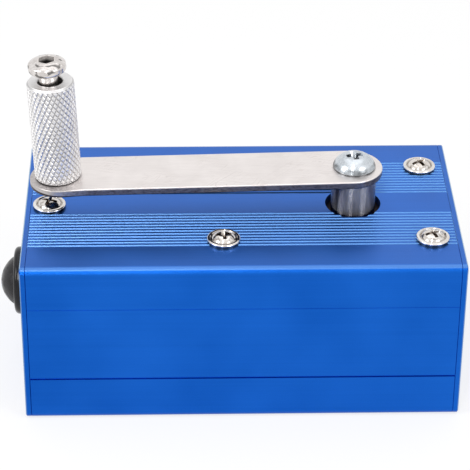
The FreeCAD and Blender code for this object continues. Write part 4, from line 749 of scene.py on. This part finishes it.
class GENERATOR_OT_handle(bpy.types.Operator):
    """Rolls the diamond knurl and turns the handle round it"""

    bl_idname = "generator.handle"
    bl_label = "Knurled handle"

    def execute(self, context):
        handle = settings("generator_handle")
        self.core = handle.diameter / 2 - handle.depth - KNURL_CROWN
        self.foot = handle.seat_gap + handle.foot_bevel
        self.band = handle.height - handle.top_bevel - self.foot
        grip = self.knurl_sheet(context, handle)
        self.roll(grip, handle)
        self.close_ends(grip, handle)
        joint = JOINTS["grip_spin"]
        set_upright_piece(grip, Vector(joint["pos_m"]), Vector(joint["axis"]))
        give(grip, worked_metal(
            "knurled_aluminium_grip", (0.68, 0.67, 0.67), (0.80, 0.79, 0.79), 0.42, pitch=3.0,
            relief=0.006, darkening=knurl_groove_darkening, darkening_color=(0.15, 0.145, 0.15)))
        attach(grip, "grip")
        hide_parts("handle_grip")
        return {"FINISHED"}

    def knurl_sheet(self, context, handle):
        """A flat sheet of raised diamonds, as long as the handle is round."""
        around = FULL_TURN * self.core
        width = around / handle.starts
        tall = self.band / handle.rows
        clear_selection()
        bpy.ops.mesh.primitive_circle_add(vertices=4, radius=0.5, fill_type="NGON")
        sheet = context.object
        sheet.name = "handle_grip_knurled"
        bpy.ops.object.mode_set(mode="EDIT")
        bpy.ops.mesh.select_all(action="SELECT")
        bpy.ops.transform.resize(value=(width, tall, 1), center_override=(0, 0, 0))
        bpy.ops.mesh.select_mode(type="FACE")
        bpy.ops.mesh.inset(thickness=KNURL_SLOPE * width, depth=handle.depth)
        bpy.ops.mesh.poke(offset=KNURL_CROWN)
        bpy.ops.mesh.select_all(action="SELECT")
        bpy.ops.mesh.duplicate_move(
            TRANSFORM_OT_translate={"value": (width / 2, tall / 2, 0)})
        bpy.ops.object.mode_set(mode="OBJECT")
        for count, step in ((handle.starts + 1, (width, 0, 0)), (handle.rows + 1, (0, tall, 0))):
            apply_modifier(sheet, "ARRAY", count=count, use_relative_offset=False,
                           use_constant_offset=True, constant_offset_displace=step,
                           use_merge_vertices=True, merge_threshold=0.02 * width)
        left = width / 4
        low = tall / 4
        for point, outwards in (
            ((left, 0, 0), (-1, 0, 0)),
            ((left + around, 0, 0), (1, 0, 0)),
            ((0, low, 0), (0, -1, 0)),
            ((0, low + self.band, 0), (0, 1, 0)),
        ):
            select_points(sheet, lambda co: True)
            bpy.ops.mesh.bisect(plane_co=point, plane_no=outwards, clear_outer=True,
                                threshold=1e-7)
            close_editing()
        activate(sheet)
        sheet.location = (-left - around / 2, -low, 0)
        bpy.ops.object.transform_apply(location=True)
        return sheet

    def roll(self, sheet, handle):
        """Stands the sheet up, rolls it into a tube and skews its pattern."""
        activate(sheet)
        sheet.rotation_euler = (math.radians(90), 0, 0)
        bpy.ops.object.transform_apply(rotation=True)
        apply_modifier(sheet, "SIMPLE_DEFORM", deform_method="BEND", deform_axis="Z",
                       angle=FULL_TURN)
        apply_modifier(sheet, "WELD", merge_threshold=0.01 * MM)
        sheet.location = (0, -self.core, 0)
        bpy.ops.object.transform_apply(location=True)
        apply_modifier(sheet, "SIMPLE_DEFORM", deform_method="TWIST", deform_axis="Z",
                       angle=handle.skew)
        sheet.location = (0, 0, self.foot)
        bpy.ops.object.transform_apply(location=True)

    def close_ends(self, sheet, handle):
        """Turns the bevels, the end faces and the bore, and joins the two ends inside it."""
        outer = handle.diameter / 2
        bore = handle.bore / 2
        mouth = bore + handle.bore_bevel
        ends = (
            (self.foot + self.band, ((outer - handle.top_bevel, handle.top_bevel), (mouth, 0.0),
                                     (bore, -handle.bore_bevel))),
            (self.foot, ((outer - handle.foot_bevel, -handle.foot_bevel), (bore, 0.0))),
        )
        for height, steps in ends:
            select_points(sheet, lambda co: abs(co.z - height) < TOUCHING)
            bpy.ops.mesh.extrude_region_move(TRANSFORM_OT_translate={"value": (0, 0, 0)})
            bpy.ops.transform.tosphere(value=1, center_override=(0, 0, height))
            close_editing()
            round_edge = [p.co for p in sheet.data.vertices if p.select]
            radius = sum(math.hypot(co.x, co.y) for co in round_edge) / len(round_edge)
            bpy.ops.object.mode_set(mode="EDIT")
            for next_radius, lift in steps:
                ring_step(radius, next_radius, lift)
                radius = next_radius
            close_editing()
        select_points(sheet, lambda co: math.hypot(co.x, co.y) < bore + 0.01 * MM)
        bpy.ops.mesh.bridge_edge_loops()
        bpy.ops.mesh.select_all(action="SELECT")
        bpy.ops.mesh.remove_doubles(threshold=TOUCHING)
        bpy.ops.mesh.normals_make_consistent(inside=False)
        close_editing()
        bpy.ops.object.shade_smooth_by_angle(angle=SHARP_ANGLE)


class GENERATOR_OT_gearbox(bpy.types.Operator):
    """Gives the plates, bushes, gears and fasteners of the gearbox their finishes"""

    bl_idname = "generator.gearbox"
    bl_label = "Gearbox"

    def execute(self, context):
        give_slots({
            "steel_plates": worked_metal(
                "zinc_plated_plate", (0.42, 0.43, 0.44), (0.62, 0.63, 0.62), 0.38,
                lay=(0.1, 1.0, 1.0), pitch=1.6, relief=0.008),
            "turned_steel": worked_metal(
                "turned_steel_parts", (0.40, 0.40, 0.41), (0.60, 0.60, 0.61), 0.30,
                lay=(0.2, 0.2, 3.0), pitch=2.0, relief=0.008),
            "zinc_screws": worked_metal(
                "zinc_plated_screw", (0.46, 0.48, 0.50), (0.68, 0.69, 0.70), 0.30, pitch=2.0),
            # Painted shade on the upper bush in the shaft's hole.
            "bronze_bushes": worked_metal(
                "oiled_bronze", (0.30, 0.16, 0.07), (0.52, 0.31, 0.14), 0.40, pitch=5.0,
                relief=0.015, smudge=0.10, darkening=bush_painted_shade, darkening_color=(0.008, 0.005, 0.003)),
            "steel_gears": worked_metal(
                "hobbed_steel", (0.34, 0.34, 0.36), (0.56, 0.56, 0.58), 0.32,
                lay=(1.0, 1.0, 0.1), pitch=3.0, relief=0.006, smudge=0.10),
            "brass_wheels": worked_metal(
                "stamped_brass", (0.55, 0.38, 0.14), (0.80, 0.60, 0.26), 0.28, pitch=2.0,
                relief=0.005, smudge=0.08),
            "spring_steel": worked_metal(
                "spring_steel_wire", (0.28, 0.28, 0.30), (0.46, 0.46, 0.48), 0.28, pitch=4.0,
                relief=0.004),
        })
        return {"FINISHED"}


class GENERATOR_OT_motor(bpy.types.Operator):
    """Gives the generator's case, laminations, coils and magnet their finishes"""

    bl_idname = "generator.motor"
    bl_label = "Generator"

    def execute(self, context):
        give_slots({
            "zinc_case": worked_metal(
                "drawn_steel_case", (0.48, 0.50, 0.52), (0.70, 0.72, 0.72), 0.34,
                lay=(0.6, 0.6, 0.08), pitch=1.5, relief=0.008),
            "lamination_steel": laminated(
                "stacked_laminations", (0.16, 0.16, 0.18), (0.36, 0.36, 0.38)),
            "copper_coils": windings("enamelled_copper", (0.34, 0.10, 0.03), (0.72, 0.30, 0.12)),
            "magnet": worked_metal(
                "nickel_coated_magnet", (0.30, 0.30, 0.32), (0.48, 0.48, 0.50), 0.26, pitch=1.0),
        })
        return {"FINISHED"}


class GENERATOR_OT_electronics(bpy.types.Operator):
    """Gives the circuit board, its components, sockets and leads their finishes"""

    bl_idname = "generator.electronics"
    bl_label = "Electronics"

    def execute(self, context):
        give_slots({
            "green_board": circuit_mask("green_board_mask", (0.01, 0.12, 0.04),
                                        (0.03, 0.24, 0.08)),
            "brass_contacts": worked_metal(
                "tinned_brass", (0.60, 0.48, 0.26), (0.80, 0.70, 0.46), 0.26, pitch=2.0),
            "socket_sheet": worked_metal(
                "folded_tinplate", (0.55, 0.56, 0.57), (0.75, 0.76, 0.76), 0.28,
                lay=(0.1, 1.0, 1.0), pitch=2.0),
            "black_moulding": moulded("black_moulding_resin", (0.008, 0.008, 0.009),
                                      (0.022, 0.022, 0.024), 0.45),
            "capacitor_sleeve": moulded("dark_sleeve", (0.010, 0.014, 0.030),
                                        (0.020, 0.028, 0.055), 0.30, pitch=1.0, relief=0.01),
            "ferrite": moulded("sintered_ferrite", (0.02, 0.02, 0.021), (0.05, 0.05, 0.052), 0.60,
                               pitch=6.0, relief=0.03),
            "yellow_leads": moulded("yellow_lead_cover", (0.62, 0.40, 0.02),
                                    (0.78, 0.54, 0.05), 0.38, pitch=1.0),
            "red_leads": moulded("red_lead_cover", (0.42, 0.02, 0.015), (0.60, 0.04, 0.03), 0.38,
                                 pitch=1.0),
        })
        return {"FINISHED"}


class GENERATOR_OT_button(bpy.types.Operator):
    """Gives the push button and its nut their finishes, and gives its spring a mesh of its own"""

    bl_idname = "generator.button"
    bl_label = "Push button"

    def execute(self, context):
        give_slots({
            "black_button_housing": moulded("satin_black_bezel", (0.006, 0.006, 0.007),
                                            (0.014, 0.014, 0.016), 0.06, relief=0.0004,
                                            smudge=0.04, gloss_level=0.24),
            "black_button_cap": moulded("gloss_black_cap", (0.006, 0.006, 0.007),
                                        (0.012, 0.011, 0.014), 0.08, pitch=1.0, relief=0.004,
                                        smudge=0.40, smudge_pitch=0.55, gloss_level=0.34),
            "nickel_nut": worked_metal(
                "nickel_plated_nut", (0.55, 0.53, 0.50), (0.74, 0.72, 0.68), 0.24, pitch=2.0),
        })
        outer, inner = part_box("button_spring")
        length = inner[0] - outer[0]
        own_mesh(NODES["button_spring"], "button_press", axis=(1, 0, 0), anchor=tuple(inner),
                  keep=(length - BUTTON_TRAVEL * MM) / length)
        return {"FINISHED"}


class GENERATOR_PT_panel(bpy.types.Panel):
    """Lists the pieces and the sizes that a user would change"""

    bl_label = "Hand crank generator"
    bl_space_type = "VIEW_3D"
    bl_region_type = "UI"
    bl_category = "Generator"

    def draw(self, context):
        for name in SETTINGS:
            box = self.layout.box()
            group = settings(name)
            for key in group.__annotations__:
                box.prop(group, key)
        for operator in OPERATORS:
            self.layout.operator(operator.bl_idname)


OPERATORS = (
    GENERATOR_OT_studio,
    GENERATOR_OT_case,
    GENERATOR_OT_crank,
    GENERATOR_OT_handle,
    GENERATOR_OT_gearbox,
    GENERATOR_OT_motor,
    GENERATOR_OT_electronics,
    GENERATOR_OT_button,
)


def register():
    for kind in (*SETTINGS.values(), *OPERATORS, GENERATOR_PT_panel):
        bpy.utils.register_class(kind)
    for name, kind in SETTINGS.items():
        setattr(bpy.types.Scene, name, bpy.props.PointerProperty(type=kind))


def unregister():
    for name in SETTINGS:
        delattr(bpy.types.Scene, name)
    for kind in reversed((*SETTINGS.values(), *OPERATORS, GENERATOR_PT_panel)):
        bpy.utils.unregister_class(kind)


def main():
    register()
    for operator in OPERATORS:
        family, name = operator.bl_idname.split(".")
        getattr(getattr(bpy.ops, family), name)()


if __name__ == "__main__":
    main()
